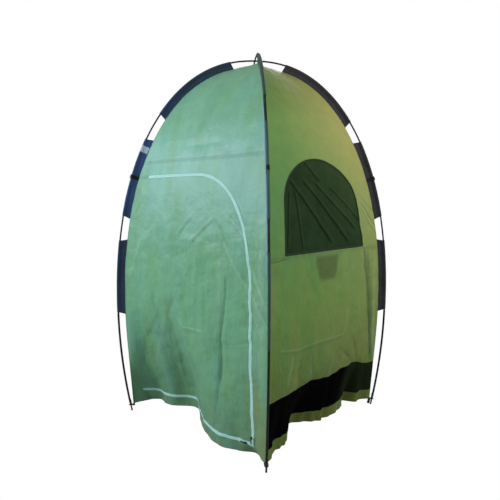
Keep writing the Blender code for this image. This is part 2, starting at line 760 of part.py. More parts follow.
def curtain_shape(x, height):
    """How far inside the window cloth's outer face the curtain hangs."""
    rise = min(1.0, max(0.0, (height - curtain_base()) / CURTAIN_STANDOFF_RISE))
    slant = (x - WINDOW_CENTRE) + 0.7 * (height - WAIST_SEAM_HEIGHT)
    crease = CURTAIN_CREASE * sin(slant * 2 * pi * CURTAIN_CREASES / (2 * WINDOW_BASE_HALF_WIDTH))
    return CLOTH_THICKNESS + CURTAIN_GAP + rise * (CURTAIN_STANDOFF + crease)


def curtain_base():
    return WAIST_SEAM_HEIGHT + WINDOW_BASE_MARGIN - 0.004


def pocket_shape(x, height):
    share = (height - POCKET_BOTTOM) / (POCKET_TOP - POCKET_BOTTOM)
    half = POCKET_BOTTOM_HALF_WIDTH + (POCKET_TOP_HALF_WIDTH - POCKET_BOTTOM_HALF_WIDTH) * share
    across = min(1.0, abs(x - POCKET_CENTRE) / half)
    up = min(1.0, max(0.0, share * 2.5))
    return CLOTH_THICKNESS + SEAT_GAP + POCKET_BULGE * (1 - across**2) * up * (2 - up)


def make_window(upper_rows):
    """The window panel, its mesh, the curtain inside it and the pocket below."""
    base = WAIST_SEAM_HEIGHT + WINDOW_BASE_MARGIN
    panel = cloth("window_panel", WINDOW, upper_rows, UPPER_COLUMNS, "wall_cloth")
    combine(panel, wall_prism("window_opening", WINDOW, window_outline(0.0, base)), "DIFFERENCE")
    mesh = cloth("window_mesh", WINDOW, upper_rows, UPPER_COLUMNS, "mesh_cloth", MESH_THICKNESS)
    shape = wall_prism("window_mesh_shape", WINDOW, window_outline(-SEAM_GAP, base + SEAM_GAP))
    combine(mesh, shape, "INTERSECT")
    rows = rows_between(curtain_base(), WINDOW_TOP + 0.05)
    curtain = cloth(
        "window_curtain", WINDOW, rows, CURTAIN_COLUMNS, "curtain_cloth", CURTAIN_THICKNESS, 0.0, curtain_shape
    )
    shape = wall_prism("curtain_outline", WINDOW, window_outline(CURTAIN_OVERLAP, curtain_base()))
    combine(curtain, shape, "INTERSECT")
    return curtain


def make_pocket():
    """A patch pocket sewn inside the window wall: its sides and bottom lie on the cloth."""
    rows = [POCKET_BOTTOM + (POCKET_TOP - POCKET_BOTTOM) * share for share in (0.0, 0.2, 0.4, 0.7, 1.0)]
    bm = bmesh.new()
    bmesh.ops.create_grid(bm, x_segments=POCKET_COLUMNS, y_segments=len(rows) - 1, size=1.0)
    for vert in bm.verts:
        height = rows[round((vert.co.y + 1) / 2 * (len(rows) - 1))]
        share = (height - POCKET_BOTTOM) / (POCKET_TOP - POCKET_BOTTOM)
        half = POCKET_BOTTOM_HALF_WIDTH + (POCKET_TOP_HALF_WIDTH - POCKET_BOTTOM_HALF_WIDTH) * share
        x = POCKET_CENTRE + vert.co.x * half
        vert.co = Vector((x, pocket_shape(x, height) - wall_depth(height), height))
    mesh = bpy.data.meshes.new("window_pocket")
    bm.to_mesh(mesh)
    bm.free()
    mesh.transform(Matrix.Rotation(WINDOW * pi / 2, 4, "Z"))
    pocket = add_object("window_pocket", mesh, "wall_cloth")
    shell = pocket.modifiers.new("Thickness", "SOLIDIFY")
    shell.thickness = POCKET_THICKNESS
    shell.offset = -1.0


def make_slider(name, frame):
    """A zip slider and its pull. Local X is the way it runs, Z points away from the cloth."""
    half = SLIDER_LENGTH / 2
    wedge = [
        (-half, -SLIDER_NOSE_WIDTH / 2),
        (half * 0.4, -SLIDER_WIDTH / 2),
        (half, -SLIDER_WIDTH / 2 + 0.001),
        (half, SLIDER_WIDTH / 2 - 0.001),
        (half * 0.4, SLIDER_WIDTH / 2),
        (-half, SLIDER_NOSE_WIDTH / 2),
    ]
    body = add_object(f"{name}_slider", plate(f"{name}_slider", (wedge,), SLIDER_THICKNESS), "zip_metal")
    body.data.transform(Matrix.Translation((0.0, 0.0, SLIDER_THICKNESS / 2)))
    wire = BRIDGE_WIRE / 2
    rise = BRIDGE_EYE + wire
    foot = BRIDGE_SPAN / 2
    sunk = SLIDER_THICKNESS - wire
    shoulder = SLIDER_THICKNESS + rise * 0.6
    path = [(-foot, 0, sunk), (-foot, 0, shoulder), (-foot * 0.5, 0, SLIDER_THICKNESS + rise)]
    path += [(-x, 0, z) for x, _, z in path[::-1]]
    bridge = add_object(f"{name}_bridge", tube(f"{name}_bridge", [Vector(p) for p in path], [wire] * len(path)))
    combine(body, bridge, "UNION")
    body.matrix_world = frame
    bridge.matrix_world = frame
    attach(body, bridge)
    bar = PULL_BAR / 2
    eye = wire + PULL_CLEARANCE
    window = foot + wire + PULL_CLEARANCE
    outline = [
        (bar, -PULL_WIDTH / 2),
        (-PULL_LENGTH + 0.002, -PULL_WIDTH / 2),
        (-PULL_LENGTH, -PULL_WIDTH / 2 + 0.002),
        (-PULL_LENGTH, PULL_WIDTH / 2 - 0.002),
        (-PULL_LENGTH + 0.002, PULL_WIDTH / 2),
        (bar, PULL_WIDTH / 2),
    ]
    hole = [(-bar, -eye), (-bar, eye), (-window, eye), (-window, -eye)]
    pull = add_object(f"{name}_pull", plate(f"{name}_pull", (outline, hole), PULL_THICKNESS), "zip_metal")
    pin = SLIDER_THICKNESS + BRIDGE_EYE / 2
    pull.matrix_world = frame @ Matrix.Translation((0.0, 0.0, pin))
    return body, pull


def zip_place(x, height):
    return Vector((x, -wall_depth(height), height))


def make_zip_sliders():
    """The side slider climbs the zip's upright stretch and the bottom one runs left above the hem."""
    right = Vector((1.0, 0.0, 0.0))
    stand = SEAT_GAP + ZIP_TAPE_THICKNESS + SLIDER_GAP

    seat = zip_place(DOOR_RIGHT_X, SIDE_SLIDER_HEIGHT)
    up = (zip_place(DOOR_RIGHT_X, SIDE_RUN_TOP) - seat).normalized()
    away = right.cross(up)
    turn = Matrix((up, -right, away)).transposed().to_4x4()
    side = make_slider("side_zip", Matrix.Translation(seat + away * stand) @ turn)

    seat = zip_place(BOTTOM_SLIDER_X, DOOR_BOTTOM)
    up = (zip_place(BOTTOM_SLIDER_X, SIDE_SLIDER_HEIGHT) - seat).normalized()
    away = right.cross(up)
    turn = Matrix((right, up, away)).transposed().to_4x4()
    bottom = make_slider("bottom_zip", Matrix.Translation(seat + away * stand) @ turn)
    return side, bottom


def make_walls():
    """The three closed walls, with the waist seam between their upper and lower cloth, and the roof."""
    half_seam = SEAM_GAP / 2
    crown_top = float(np.interp(CROWN_HOLE * sqrt(2), SEAM[:2, 0], SEAM[:2, 1]))
    upper_rows = rows_between(WAIST_SEAM_HEIGHT + half_seam, crown_top)
    cloth("front_roof", FRONT, rows_between(FRONT_SEAM_HEIGHT + half_seam, crown_top), UPPER_COLUMNS, "door_cloth")
    cloth("rear_upper_wall", REAR, upper_rows, UPPER_COLUMNS, "wall_cloth")
    cloth("left_upper_wall", LEFT, upper_rows, UPPER_COLUMNS, "door_cloth")
    lower_rows = rows_between(HEM_HEIGHT, WAIST_SEAM_HEIGHT - half_seam)
    cloth("rear_lower_wall", REAR, lower_rows, BACK_COLUMNS, "wall_cloth")
    cloth("left_lower_wall", LEFT, lower_rows, BACK_COLUMNS, "door_cloth")
    vent_rows = rows_between(VENT_BOTTOM + half_seam, VENT_TOP - half_seam)
    hem_rows = rows_between(HEM_HEIGHT, VENT_BOTTOM - half_seam)
    below_window = rows_between(VENT_TOP + half_seam, WAIST_SEAM_HEIGHT - half_seam)
    cloth("window_lower_wall", WINDOW, below_window, WINDOW_COLUMNS, "wall_cloth")
    cloth("vent_mesh", WINDOW, vent_rows, WINDOW_COLUMNS, "mesh_cloth")
    cloth("window_hem", WINDOW, hem_rows, WINDOW_COLUMNS, "wall_cloth")
    return upper_rows


def build():
    make_pole("side_pole", ("left", "right"))
    make_pole("front_pole", ("rear", "front"))
    ground = ground_cutter()
    for leg in LEGS:
        make_tip(leg, ground)
        make_tab(leg)
        for number, (start, end) in enumerate(SLEEVE_ENDS, 1):
            drift = FIRST_SLEEVE_DRIFT[leg] if number == 1 else 0.0
            make_sleeve(leg, number, start + drift, end + drift)
    curtain = make_window(make_walls())
    make_pocket()
    door, door_tape = make_front(rows_between(HEM_HEIGHT, FRONT_SEAM_HEIGHT - SEAM_GAP / 2))
    (side_slider, side_pull), (bottom_slider, bottom_pull) = make_zip_sliders()
    belly = max(SEAM[:, 0]) / sqrt(2)
    hinge = pivot("door_hinge", (DOOR_HINGE_X, -belly - HINGE_STANDOFF, DOOR_BOTTOM), door, door_tape)
    attach(hinge, side_slider, bottom_slider)
    attach(side_slider, side_pull)
    attach(bottom_slider, bottom_pull)
    base = curtain_base()
    pivot("curtain_hinge", (wall_depth(base) - CLOTH_THICKNESS - CURTAIN_GAP, 0.0, base), curtain)


build()
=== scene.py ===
"""Toilet tent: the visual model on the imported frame.

Metres, +Z up. The door wall faces -Y and the window wall faces +X. Each wall is laid out flat first:
x runs across it as seen from outside, and v runs up the cloth from the ground. It is then lifted
into its place under the poles, with its folds.
"""

from math import cos, pi, radians, sin, sqrt

import bmesh
import bpy
import numpy as np
from mathutils import Matrix, Vector, geometry
from mathutils.kdtree import KDTree


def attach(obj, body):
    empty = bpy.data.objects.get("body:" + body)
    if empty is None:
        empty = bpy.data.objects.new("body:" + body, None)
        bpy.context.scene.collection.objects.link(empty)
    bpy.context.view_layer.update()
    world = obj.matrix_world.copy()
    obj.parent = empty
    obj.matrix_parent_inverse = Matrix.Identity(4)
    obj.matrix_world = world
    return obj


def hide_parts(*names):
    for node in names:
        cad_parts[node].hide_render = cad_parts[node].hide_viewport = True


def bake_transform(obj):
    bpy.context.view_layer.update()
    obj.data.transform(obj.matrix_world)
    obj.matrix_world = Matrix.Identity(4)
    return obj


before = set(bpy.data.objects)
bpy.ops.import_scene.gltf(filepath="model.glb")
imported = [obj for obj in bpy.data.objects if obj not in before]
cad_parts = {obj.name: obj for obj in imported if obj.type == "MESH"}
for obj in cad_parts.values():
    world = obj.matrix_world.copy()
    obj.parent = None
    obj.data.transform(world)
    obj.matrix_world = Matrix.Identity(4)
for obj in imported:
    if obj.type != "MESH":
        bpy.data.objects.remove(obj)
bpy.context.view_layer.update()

# Poles and seams, as in the frame
FOOT_SPACING = 1.07
BELLY_HALF_DIAGONAL = 0.829
BELLY_HEIGHT = 0.681
LOWER_CROWN_HEIGHT = 2.122
UPPER_CROWN_HEIGHT = 2.1321
CROWN_FULLNESS = 2.2
POLE_RADIUS = 0.00475
LEG_TUBE_RADIUS = 0.00625
LEG_TUBE_START = 1.911
FERRULE_RADIUS = 0.00585
FERRULE_LENGTH = 0.072
POLE_END = 0.0501
POLE_SECTIONS = 7
ARCH_POINTS = 1500
FOOT_POINTS = 500
PLUG_GAP = 0.0006
SLEEVE_REACH = 0.04
CROWN_REACH = 0.022
CROWN_REACH_LENGTH = 0.15
FOOT_REACH = 0.0095
FOOT_TAPER_LENGTH = 0.45
SLEEVE_ENDS = ((0.165, 0.69), (0.842, 1.317), (1.469, 1.905))
FIRST_SLEEVE_DRIFT = {"left": -0.017, "front": 0.0, "right": 0.018, "rear": 0.0}
TAB_WIDTH = 0.022
TAB_OUTER_REACH = 0.013
TAB_INNER_REACH = 0.024
TAB_HEIGHT = 0.0374
TAB_THICKNESS = 0.0014
GROMMET_HOLE = 0.0069
LOOP_DROP = {"left": 0.008, "front": 0.014, "right": 0.034, "rear": 0.018}
LOOP_WIDTH = 0.0145
LOOP_HALF_GAP = 0.0024
LAST_CHORD = 0.181
GUY_BAND_START = 1.068
GUY_BAND_WIDTH = 0.022
GUY_LOOP_LENGTH = 0.036
GUY_LOOP_BULGE = 0.0035
GUY_LOOP_WIDTH = 0.01
GUY_LOOP_STANDOFF = 0.003
LABEL_PLACE = (0.04, 0.08)
CORNER_INSET = 0.0026
HEM_HEIGHT = 0.042
FRONT_SEAM_HEIGHT = 1.517
WAIST_SEAM_HEIGHT = 1.023
VENT_TOP = 0.335
VENT_BOTTOM = 0.104
SEAM_GAP = 0.0004

# Door, window and pocket, as in the frame
DOOR_HINGE_X = -0.465
DOOR_RIGHT_X = 0.444
DOOR_BOTTOM = 0.105
DOOR_TOP = 1.433
DOOR_SPRING_HEIGHT = 0.8
DOOR_ARCH_POWER = 2.2
DOOR_GAP = 0.0005
ZIP_TAPE_WIDTH = 0.0075
ZIP_LOW_MARGIN = 0.012
ZIP_TOP_MARGIN = 0.075
ZIP_TAIL = (-0.52, 0.116)
WINDOW_CENTRE = -0.03
WINDOW_BASE_HALF_WIDTH = 0.39
WINDOW_SPRING_HALF_WIDTH = 0.352
WINDOW_SPRING_HEIGHT = 1.27
WINDOW_TOP = 1.515
WINDOW_BASE = 1.035
CURTAIN_BASE = 1.031
CURTAIN_OVERLAP = 0.016
CURTAIN_DEPTH = 0.0024
CURTAIN_STANDOFF = 0.01
CURTAIN_STANDOFF_RISE = 0.09
POCKET_CENTRE = -0.037
POCKET_TOP_HALF_WIDTH = 0.123
POCKET_BOTTOM_HALF_WIDTH = 0.083
POCKET_TOP = 1.01
POCKET_BOTTOM = 0.872
POCKET_BULGE = 0.006
CORNER_HIGHLIGHT_BOTTOM = 0.95
CORNER_HIGHLIGHT_TOP = 1.78

# How finely the cloth is cut into triangles, and how thick it is
CLOTH = 0.0006
FINE = 0.008
COARSE = 0.012
GRID_MARGIN = 0.6
EDGE_SPACING = 0.002
UNCUT_MARGIN = 0.0015

# Creases and unevenness of the cloth
CREASE_STRENGTH = 1.5
CREASE_SHARPNESS = 1.25
CREASE_FADE = 0.7
RIPPLE_TABLE = 64

# Zip teeth, strips and straps, and the room that a cut needs for sewing
TOOTH_PITCH = 0.0024
TOOTH_HALF_LENGTH = 0.0005
TOOTH_HEIGHTS = (0.0005, 0.0016)
TOOTH_TAPER = 0.8
ZIP_SPACING = 0.0012
RIBBON_SPACING = 0.005
LOOP_THICKNESS = 0.0012
GUY_LOOP_THICKNESS = 0.0011
SEWING_ROOM = 1.01

# Poles and the sleeves round them
TUBE_SIDES = 16
TUBE_STEP = 0.0006
POLE_SPACING = 0.012
SLEEVE_RADIUS = 0.0062
SLEEVE_THICKNESS = 0.0007
SLEEVE_SLANT = 0.013
BAND_THICKNESS = 0.001
BAND_SWELL = 0.0012
FIN_HALF_THICKNESS = 0.0011
SEAM_BITE = 0.004

# Gloss, weave and stitching. The colour stops, cloth colour with painted light and shade, run from the ground
# to the height named last
SPECULAR = 0.3
SHEEN_SHARE = 0.13
PALE_THREAD = (0.32, 0.45, 0.36)
STITCH_PITCH = 0.0034
STITCH_SHARE = 0.72
THREAD_HALF_WIDTH = 0.0004
FELL_EDGE = (0.0088, 0.0102)
FELL_ROWS = (0.0022, 0.0078)
SLEEVE_ROWS = (0.004, 0.015)
TENT_WEAVE = 0.0009
SLEEVE_WEAVE = 0.001
WEBBING_RIBS = 0.0017
WEBBING_PICKS = 0.0011
NET_MARGIN = 0.006
NET_GLEAM_SHIFT = 0.012
STOPS_HEIGHT = 2.12

# The legs by the way each leans out in plan, and the walls by their quarter turns from the one facing -Y
LEGS = {"left": 225, "front": 315, "right": 45, "rear": 135}
FRONT, WINDOW, REAR, LEFT = 0, 1, 2, 3

PIECES = bpy.data.collections.new("tent_pieces")
bpy.context.scene.collection.children.link(PIECES)


# The lines of the frame


def arch(crown_height):
    """One half of a pole, from crown to foot: distance out and height."""
    turn = np.linspace(pi / 2, 0.0, ARCH_POINTS)
    out = BELLY_HALF_DIAGONAL * np.cos(turn) ** (2 / CROWN_FULLNESS)
    up = BELLY_HEIGHT + (crown_height - BELLY_HEIGHT) * np.sin(turn) ** (2 / CROWN_FULLNESS)
    out[0] = 0.0
    low_up = np.linspace(BELLY_HEIGHT, 0.0, FOOT_POINTS)[1:]
    draw_in = (BELLY_HALF_DIAGONAL - FOOT_SPACING / sqrt(2)) * ((BELLY_HEIGHT - low_up) / BELLY_HEIGHT) ** 2
    return np.concatenate([out, BELLY_HALF_DIAGONAL - draw_in]), np.concatenate([up, low_up])


def seam_reach(along, length):
    near_crown = CROWN_REACH + (SLEEVE_REACH - CROWN_REACH) * np.clip(along / CROWN_REACH_LENGTH, 0, 1)
    rise = np.clip((length - along) / FOOT_TAPER_LENGTH, 0, 1)
    near_foot = FOOT_REACH + (SLEEVE_REACH - FOOT_REACH) * (1 - (1 - rise) ** 2)
    return np.minimum(near_crown, near_foot)


LOW_OUT, LOW_UP = arch(LOWER_CROWN_HEIGHT)
HIGH_OUT, HIGH_UP = arch(UPPER_CROWN_HEIGHT)
ALONG = np.concatenate([[0.0], np.cumsum(np.hypot(np.diff(LOW_OUT), np.diff(LOW_UP)))])
HALF_LENGTH = ALONG[-1]
REACH = seam_reach(ALONG, HALF_LENGTH)
SEAM_OUT = LOW_OUT + np.gradient(LOW_UP, ALONG) * REACH
SEAM_UP = LOW_UP - np.gradient(LOW_OUT, ALONG) * REACH
SEAM_OUT[0] = 0.0
POLE_LINES = {
    "left": (LOW_OUT, LOW_UP),
    "right": (LOW_OUT, LOW_UP),
    "front": (HIGH_OUT, HIGH_UP),
    "rear": (HIGH_OUT, HIGH_UP),
}

# A wall's own profile, from the ground up: its depth from the middle, its height and the cloth's length
DEEP = SEAM_OUT[::-1] / sqrt(2)
UP = SEAM_UP[::-1]
RUN = np.concatenate([[0.0], np.cumsum(np.hypot(np.diff(DEEP), np.diff(UP)))])
DEEP_SLOPE = np.gradient(DEEP, RUN)
UP_SLOPE = np.gradient(UP, RUN)
CROWN_RUN = float(np.interp(0.004, DEEP[::-1], RUN[::-1]))


def run_at(height):
    return float(np.interp(height, UP, RUN))


def half_width(run):
    deep = np.interp(run, RUN, DEEP)
    return deep - np.minimum(CORNER_INSET, deep * 0.4)


# Folds and creases


def smooth(share):
    share = np.clip(share, 0.0, 1.0)
    return share * share * (3.0 - 2.0 * share)


def swelling(place, half, power=2):
    """A smooth hump, one in the middle and nought at its edges."""
    return (1.0 - np.minimum(1.0, np.abs(place) / half) ** power) ** 2


def drape(height, reach):
    """How much of a fold is left at a height: all at the hem, none above its reach."""
    return 1.0 - smooth((height - HEM_HEIGHT) / reach)


def ripple(x, y, size, seed):
    """A smooth random field from -1 to 1 whose bumps are about one size across."""
    table = np.random.default_rng(seed).uniform(-1.0, 1.0, (RIPPLE_TABLE, RIPPLE_TABLE))
    x, y = x / size + 100.0, y / size + 100.0
    column, row = np.floor(x).astype(int), np.floor(y).astype(int)
    right, up = smooth(x - column), smooth(y - row)
    left_at, right_at = column % RIPPLE_TABLE, (column + 1) % RIPPLE_TABLE
    low, high = (
        table[line % RIPPLE_TABLE, left_at] * (1 - right) + table[line % RIPPLE_TABLE, right_at] * right
        for line in (row, row + 1)
    )
    return low * (1 - up) + high * up


def crumple(x, y, size, seed):
    """A field of sharp little ridges, as in cloth that was packed small."""
    total = np.zeros_like(x)
    for turn in range(3):
        angle = 0.7 + 1.9 * turn + seed
        a, b = x * cos(angle) - y * sin(angle), x * sin(angle) + y * cos(angle)
        total += (0.5 - np.abs(ripple(a, b * 0.6, size * 0.72**turn, seed + turn))) * 0.65**turn
    return total


def crease(x, z, knots, depth, width):
    """A crease along a broken line, deepest halfway along it and gone at its ends; a ridge if depth < 0."""
    knots = [Vector(knot) for knot in knots]
    lengths = [(end - start).length for start, end in zip(knots, knots[1:])]
    nearest = np.full(x.shape, np.inf)
    place = np.zeros(x.shape)
    passed = 0.0
    for start, end, length in zip(knots, knots[1:], lengths):
        way = (end - start) / length
        along = np.clip((x - start.x) * way.x + (z - start.y) * way.y, 0.0, length)
        gap = np.hypot(x - start.x - along * way.x, z - start.y - along * way.y)
        nearer = gap < nearest
        nearest = np.where(nearer, gap, nearest)
        place = np.where(nearer, (passed + along) / sum(lengths), place)
        passed += length
    return depth * np.exp(-((nearest / width) ** CREASE_SHARPNESS)) * np.sin(pi * place) ** CREASE_FADE


def humps(x, table):
    """Humps side by side, from each one's place, half width and depth."""
    return sum(depth * swelling(x - place, half) for place, half, depth in table)


def front_fold(x, z):
    offset = x + 0.235
    main = 0.135 * np.where(offset < 0, swelling(offset, 0.29, 6), swelling(offset, 0.4, 2.6))
    pleat = 0.08 * swelling(x + 0.19, 0.15)
    # Close to the left corner the hem turns in at once; right of the fold it swells out, then tucks in
    corner = 0.095 * smooth((x + 0.5466) / 0.035) * (1.0 - smooth((x + 0.515) / 0.15))
    flank = 0.013 * (swelling(x + 0.27, 0.13) + swelling(x + 0.045, 0.14))
    swell = -0.029 * swelling(x - 0.25, 0.12) * drape(z, 0.45)
    tuck = 0.038 * swelling(x - 0.43, 0.085) * drape(z, 0.06)
    return (main + pleat) * drape(z, 0.8) + (corner + flank) * drape(z, 0.35) + swell + tuck


def hem_draw(x, z):
    return 0.055 * swelling(x, 0.51, 6) * drape(z, 0.4)


WINDOW_HUMPS = (
    (-0.12, 0.2, 0.1),
    (0.36, 0.13, 0.05),
    (-0.43, 0.05, 0.014),
    (0.01, 0.06, -0.014),
    (0.075, 0.04, 0.014),
    (0.17, 0.06, -0.014),
    (0.408, 0.035, -0.032),
    (-0.335, 0.07, -0.012),
    (0.36, 0.03, 0.02),
    (0.47, 0.04, 0.02),
)


def window_fold(x, z):
    scallops = 0.005 * np.sin(x * 70.0 + 4.0 * np.sin(x * 17.0)) * swelling(x, 0.5, 6) * drape(z, 0.12)
    return hem_draw(x, z) + humps(x, WINDOW_HUMPS) * drape(z, 0.4) + scallops


def back_fold(x, z):
    return hem_draw(x, z) + 0.07 * swelling(x - 0.15, 0.26) * drape(z, 0.8)


def thousandths(value):
    """A table that is written in thousandths, which are millimetres for all its lengths."""
    if isinstance(value, tuple):
        return tuple(thousandths(part) for part in value)
    return value / 1000


# Creases of each wall: the points each runs through, its depth (less than nought for a ridge) and its width
FRONT_CREASES = thousandths((
    (((278, 900), (268, 740), (243, 590), (238, 400), (200, 200)), 10, 17),
    (((117, 920), (130, 750), (142, 580)), 4, 22),
    (((-85, 1095), (-30, 1165), (10, 1200)), 3.5, 13),
    (((40, 1085), (90, 1132), (160, 1190)), 4.5, 15),
    (((-96, 1100), (26, 1100), (138, 1090)), -3, 12),
    (((285, 1225), (345, 1170), (415, 1060)), 3.5, 14),
    (((282, 1056), (342, 970), (402, 896)), -4, 16),
    (((446, 988), (488, 890), (536, 804)), -3, 13),
    (((454, 854), (546, 710)), -3, 13),
    (((222, 1168), (292, 1050)), 3.5, 14),
    (((-480, 1200), (-400, 1320)), 3, 14),
    (((-502, 866), (-414, 1070)), -3, 14),
    (((-140, 752), (-205, 640)), 4, 16),
    (((-308, 618), (-422, 472), (-482, 314)), 5, 22),
    (((-178, 638), (-262, 410)), 4, 20),
    (((-188, 444), (-228, 300)), 4, 20),
    (((-45, 520), (-38, 300)), 4, 20),
    (((70, 500), (60, 200)), 3, 20),
    (((-100, 660), (-50, 610), (120, 616)), -4, 14),
    (((170, 600), (440, 593)), -3, 14),
    (((-120, 1594), (180, 1602)), 3, 14),
))
WINDOW_CREASES = thousandths((
    (((370, 1330), (522, 1236)), 3, 13),
    (((382, 1288), (532, 1146)), 3, 13),
    (((378, 1240), (534, 1096)), 3, 13),
    (((384, 988), (418, 814), (430, 628), (496, 398)), 7, 19),
    (((-444, 576), (-320, 554), (-150, 556), (126, 546), (188, 620), (170, 682)), -2, 11),
    (((-284, 500), (-289, 370)), 5, 16),
    (((-168, 468), (-132, 356)), 5, 15),
    (((124, 460), (262, 362)), 5, 17),
    (((248, 514), (328, 372)), 4, 16),
    (((-133, 560), (-128, 460)), 3, 12),
    (((-300, 980), (-200, 700)), 2, 18),
))
BACK_CREASES = thousandths((
    (((-300, 550), (-340, 150)), 6, 20),
    (((20, 620), (50, 200)), 6, 22),
    (((330, 500), (300, 120)), 6, 20),
    (((-470, 1300), (-300, 1100)), 4, 16),
    (((440, 1340), (280, 1120)), 4, 16),
    (((-360, 700), (100, 660)), -3, 14),
))
CURTAIN_CREASES = thousandths((
    (((-160, 1500), (-95, 1402), (69, 1292), (280, 1130)), -6, 12),
    (((-310, 1370), (-206, 1249), (-90, 1148), (0, 1060)), -6, 12),
    (((-200, 1330), (-55, 1238), (73, 1142), (200, 1050)), -5, 12),
    (((-355, 1290), (-340, 1090)), -5, 10),
    (((-295, 1270), (-220, 1080)), -5, 10),
))
FOLDS = {FRONT: front_fold, WINDOW: window_fold, REAR: back_fold, LEFT: back_fold}
CREASES = {FRONT: FRONT_CREASES, WINDOW: WINDOW_CREASES, REAR: BACK_CREASES, LEFT: BACK_CREASES}


def creased(x, z, table):
    return sum(crease(x, z, *one) for one in table)


def wrinkles(side, x, v, z):
    """How far in the cloth's small unevenness draws it. It dies out at the wall's two corner seams."""
    seed = 11 * side + 3
    broad = 0.0035 * ripple(x, v, 0.22, seed) + 0.0016 * ripple(x, v, 0.09, seed + 1)
    crinkle = 0.0065 * crumple(x, v, 0.12, seed + 2) + 0.003 * crumple(x, v, 0.045, seed + 5)
    crinkle = crinkle * (1.0 - 0.76 * smooth((z - 1.0) / 0.35))
    streaks = 0.0058 * ripple(x, v * 0.16, 0.055, seed + 4) * (1.0 - smooth((z - 0.1) / 0.85))
    pulled = 0.0016 * ripple(x * 0.22, v, 0.05, seed + 6) * smooth((z - 1.25) / 0.3)
    edge = np.clip((half_width(v) - np.abs(x)) / 0.06, 0.0, 1.0)
    return (broad + crinkle + streaks + pulled) * (0.15 + 0.85 * edge)


def slipped(side, x, v):
    """The window wall's cloth has slipped down a little at its vent, most of all at the right corner."""
    if side != WINDOW:
        return x, v
    slip = 0.05 * smooth((x - 0.28) / 0.22) + 0.016 * swelling(x - 0.02, 0.16)
    lower = v - slip * np.exp(-(((v - VENT_TOP) / 0.13) ** 2))
    return x * half_width(lower) / half_width(v), lower


def lifted(side, x, v, out=0.0, relief=True, shape=None):
    """Points of a wall's cloth in the row frame, from its flat layout; out lifts them off its face."""
    x, v = slipped(side, x, v)
    z = np.interp(v, RUN, UP)
    inward = np.zeros(x.shape) - out
    if relief:
        inward += CREASE_STRENGTH * creased(x, z, CREASES[side]) + wrinkles(side, x, v, z)
    if shape is not None:
        inward += shape(x, z)
    rise, lean = np.interp(v, RUN, UP_SLOPE), np.interp(v, RUN, DEEP_SLOPE)
    y = FOLDS[side](x, z) - np.interp(v, RUN, DEEP) + inward * rise
    points = np.stack([x, y, z + inward * lean], 1)
    turn = np.array(Matrix.Rotation(side * pi / 2, 3, "Z"))
    return points @ turn.T


# Flat layouts


def inside(points, loop):
    """Which points lie inside a closed flat outline."""
    x, y = points[:, 0], points[:, 1]
    found = np.zeros(len(points), bool)
    for (ax, ay), (bx, by) in zip(loop, np.roll(loop, -1, 0)):
        crosses = (ay > y) != (by > y)
        with np.errstate(divide="ignore", invalid="ignore"):
            found ^= crosses & (x < (bx - ax) * (y - ay) / (by - ay) + ax)
    return found


def resampled(line, spacing, closed=False):
    """The same broken line with points about one spacing apart. Its corners are kept."""
    line = np.asarray(line, float)
    ends = np.roll(line, -1, 0) if closed else line[1:]
    parts = []
    for start, end in zip(line, ends):
        count = max(1, round(float(np.hypot(*(end - start))) / spacing))
        parts.append(start + (end - start) * (np.arange(count) / count)[:, None])
    if not closed:
        parts.append(line[-1:])
    return np.concatenate(parts)


def within(points, loops):
    """Which points lie inside the first outline and outside the others."""
    keep = inside(points, loops[0])
    for loop in loops[1:]:
        keep &= ~inside(points, loop)
    return keep


def search_tree(points):
    tree = KDTree(len(points))
    for index, (x, y) in enumerate(points):
        tree.insert((x, y, 0.0), index)
    tree.balance()
    return tree


def pairs(first, second):
    return np.stack([first.ravel(), second.ravel()], 1)


def flat_layout(outline, holes=(), spacing=FINE):
    """Points and triangles of a flat cut of cloth, with the distance to its edge and along it."""
    loops = [resampled(loop, spacing, True) for loop in (outline, *holes)]
    low, high = loops[0].min(0), loops[0].max(0)
    rows = np.arange(low[1], high[1], spacing * sqrt(3) / 2)
    columns = np.arange(low[0], high[0], spacing)
    grid_x, grid_y = np.meshgrid(columns, rows)
    grid_x[1::2] += spacing / 2
    grid = pairs(grid_x, grid_y)
    grid = grid[within(grid, loops)]
    tree = search_tree(np.concatenate(loops))
    grid = grid[[tree.find((x, y, 0.0))[2] > spacing * GRID_MARGIN for x, y in grid]]
    links, start = [], 0
    for loop in loops:
        links += [(start + i, start + (i + 1) % len(loop)) for i in range(len(loop))]
        start += len(loop)
    points = np.concatenate([*loops, grid])
    made = geometry.delaunay_2d_cdt([Vector(p) for p in points], links, [], 0, 1e-6)
    points, triangles = np.array([tuple(p) for p in made[0]]), np.array(made[2])
    triangles = triangles[within(points[triangles].mean(1), loops)]
    # Stitching follows the edge, so each point knows how far it is from it and how far along it.
    # The door hangs on uncut cloth, so its left edge has none
    dense, lengths = [], []
    for loop in loops:
        fine = resampled(loop, EDGE_SPACING, True)
        sewn_edge = np.abs(fine[:, 0] - DOOR_HINGE_X) > UNCUT_MARGIN
        dense.append(fine[sewn_edge])
        lengths.append(lengths_along(fine)[sewn_edge])
    lengths = np.concatenate(lengths)
    tree = search_tree(np.concatenate(dense))
    found = [tree.find((x, y, 0.0)) for x, y in points]
    return points, triangles, np.array([(gap, lengths[index]) for _, index, gap in found])


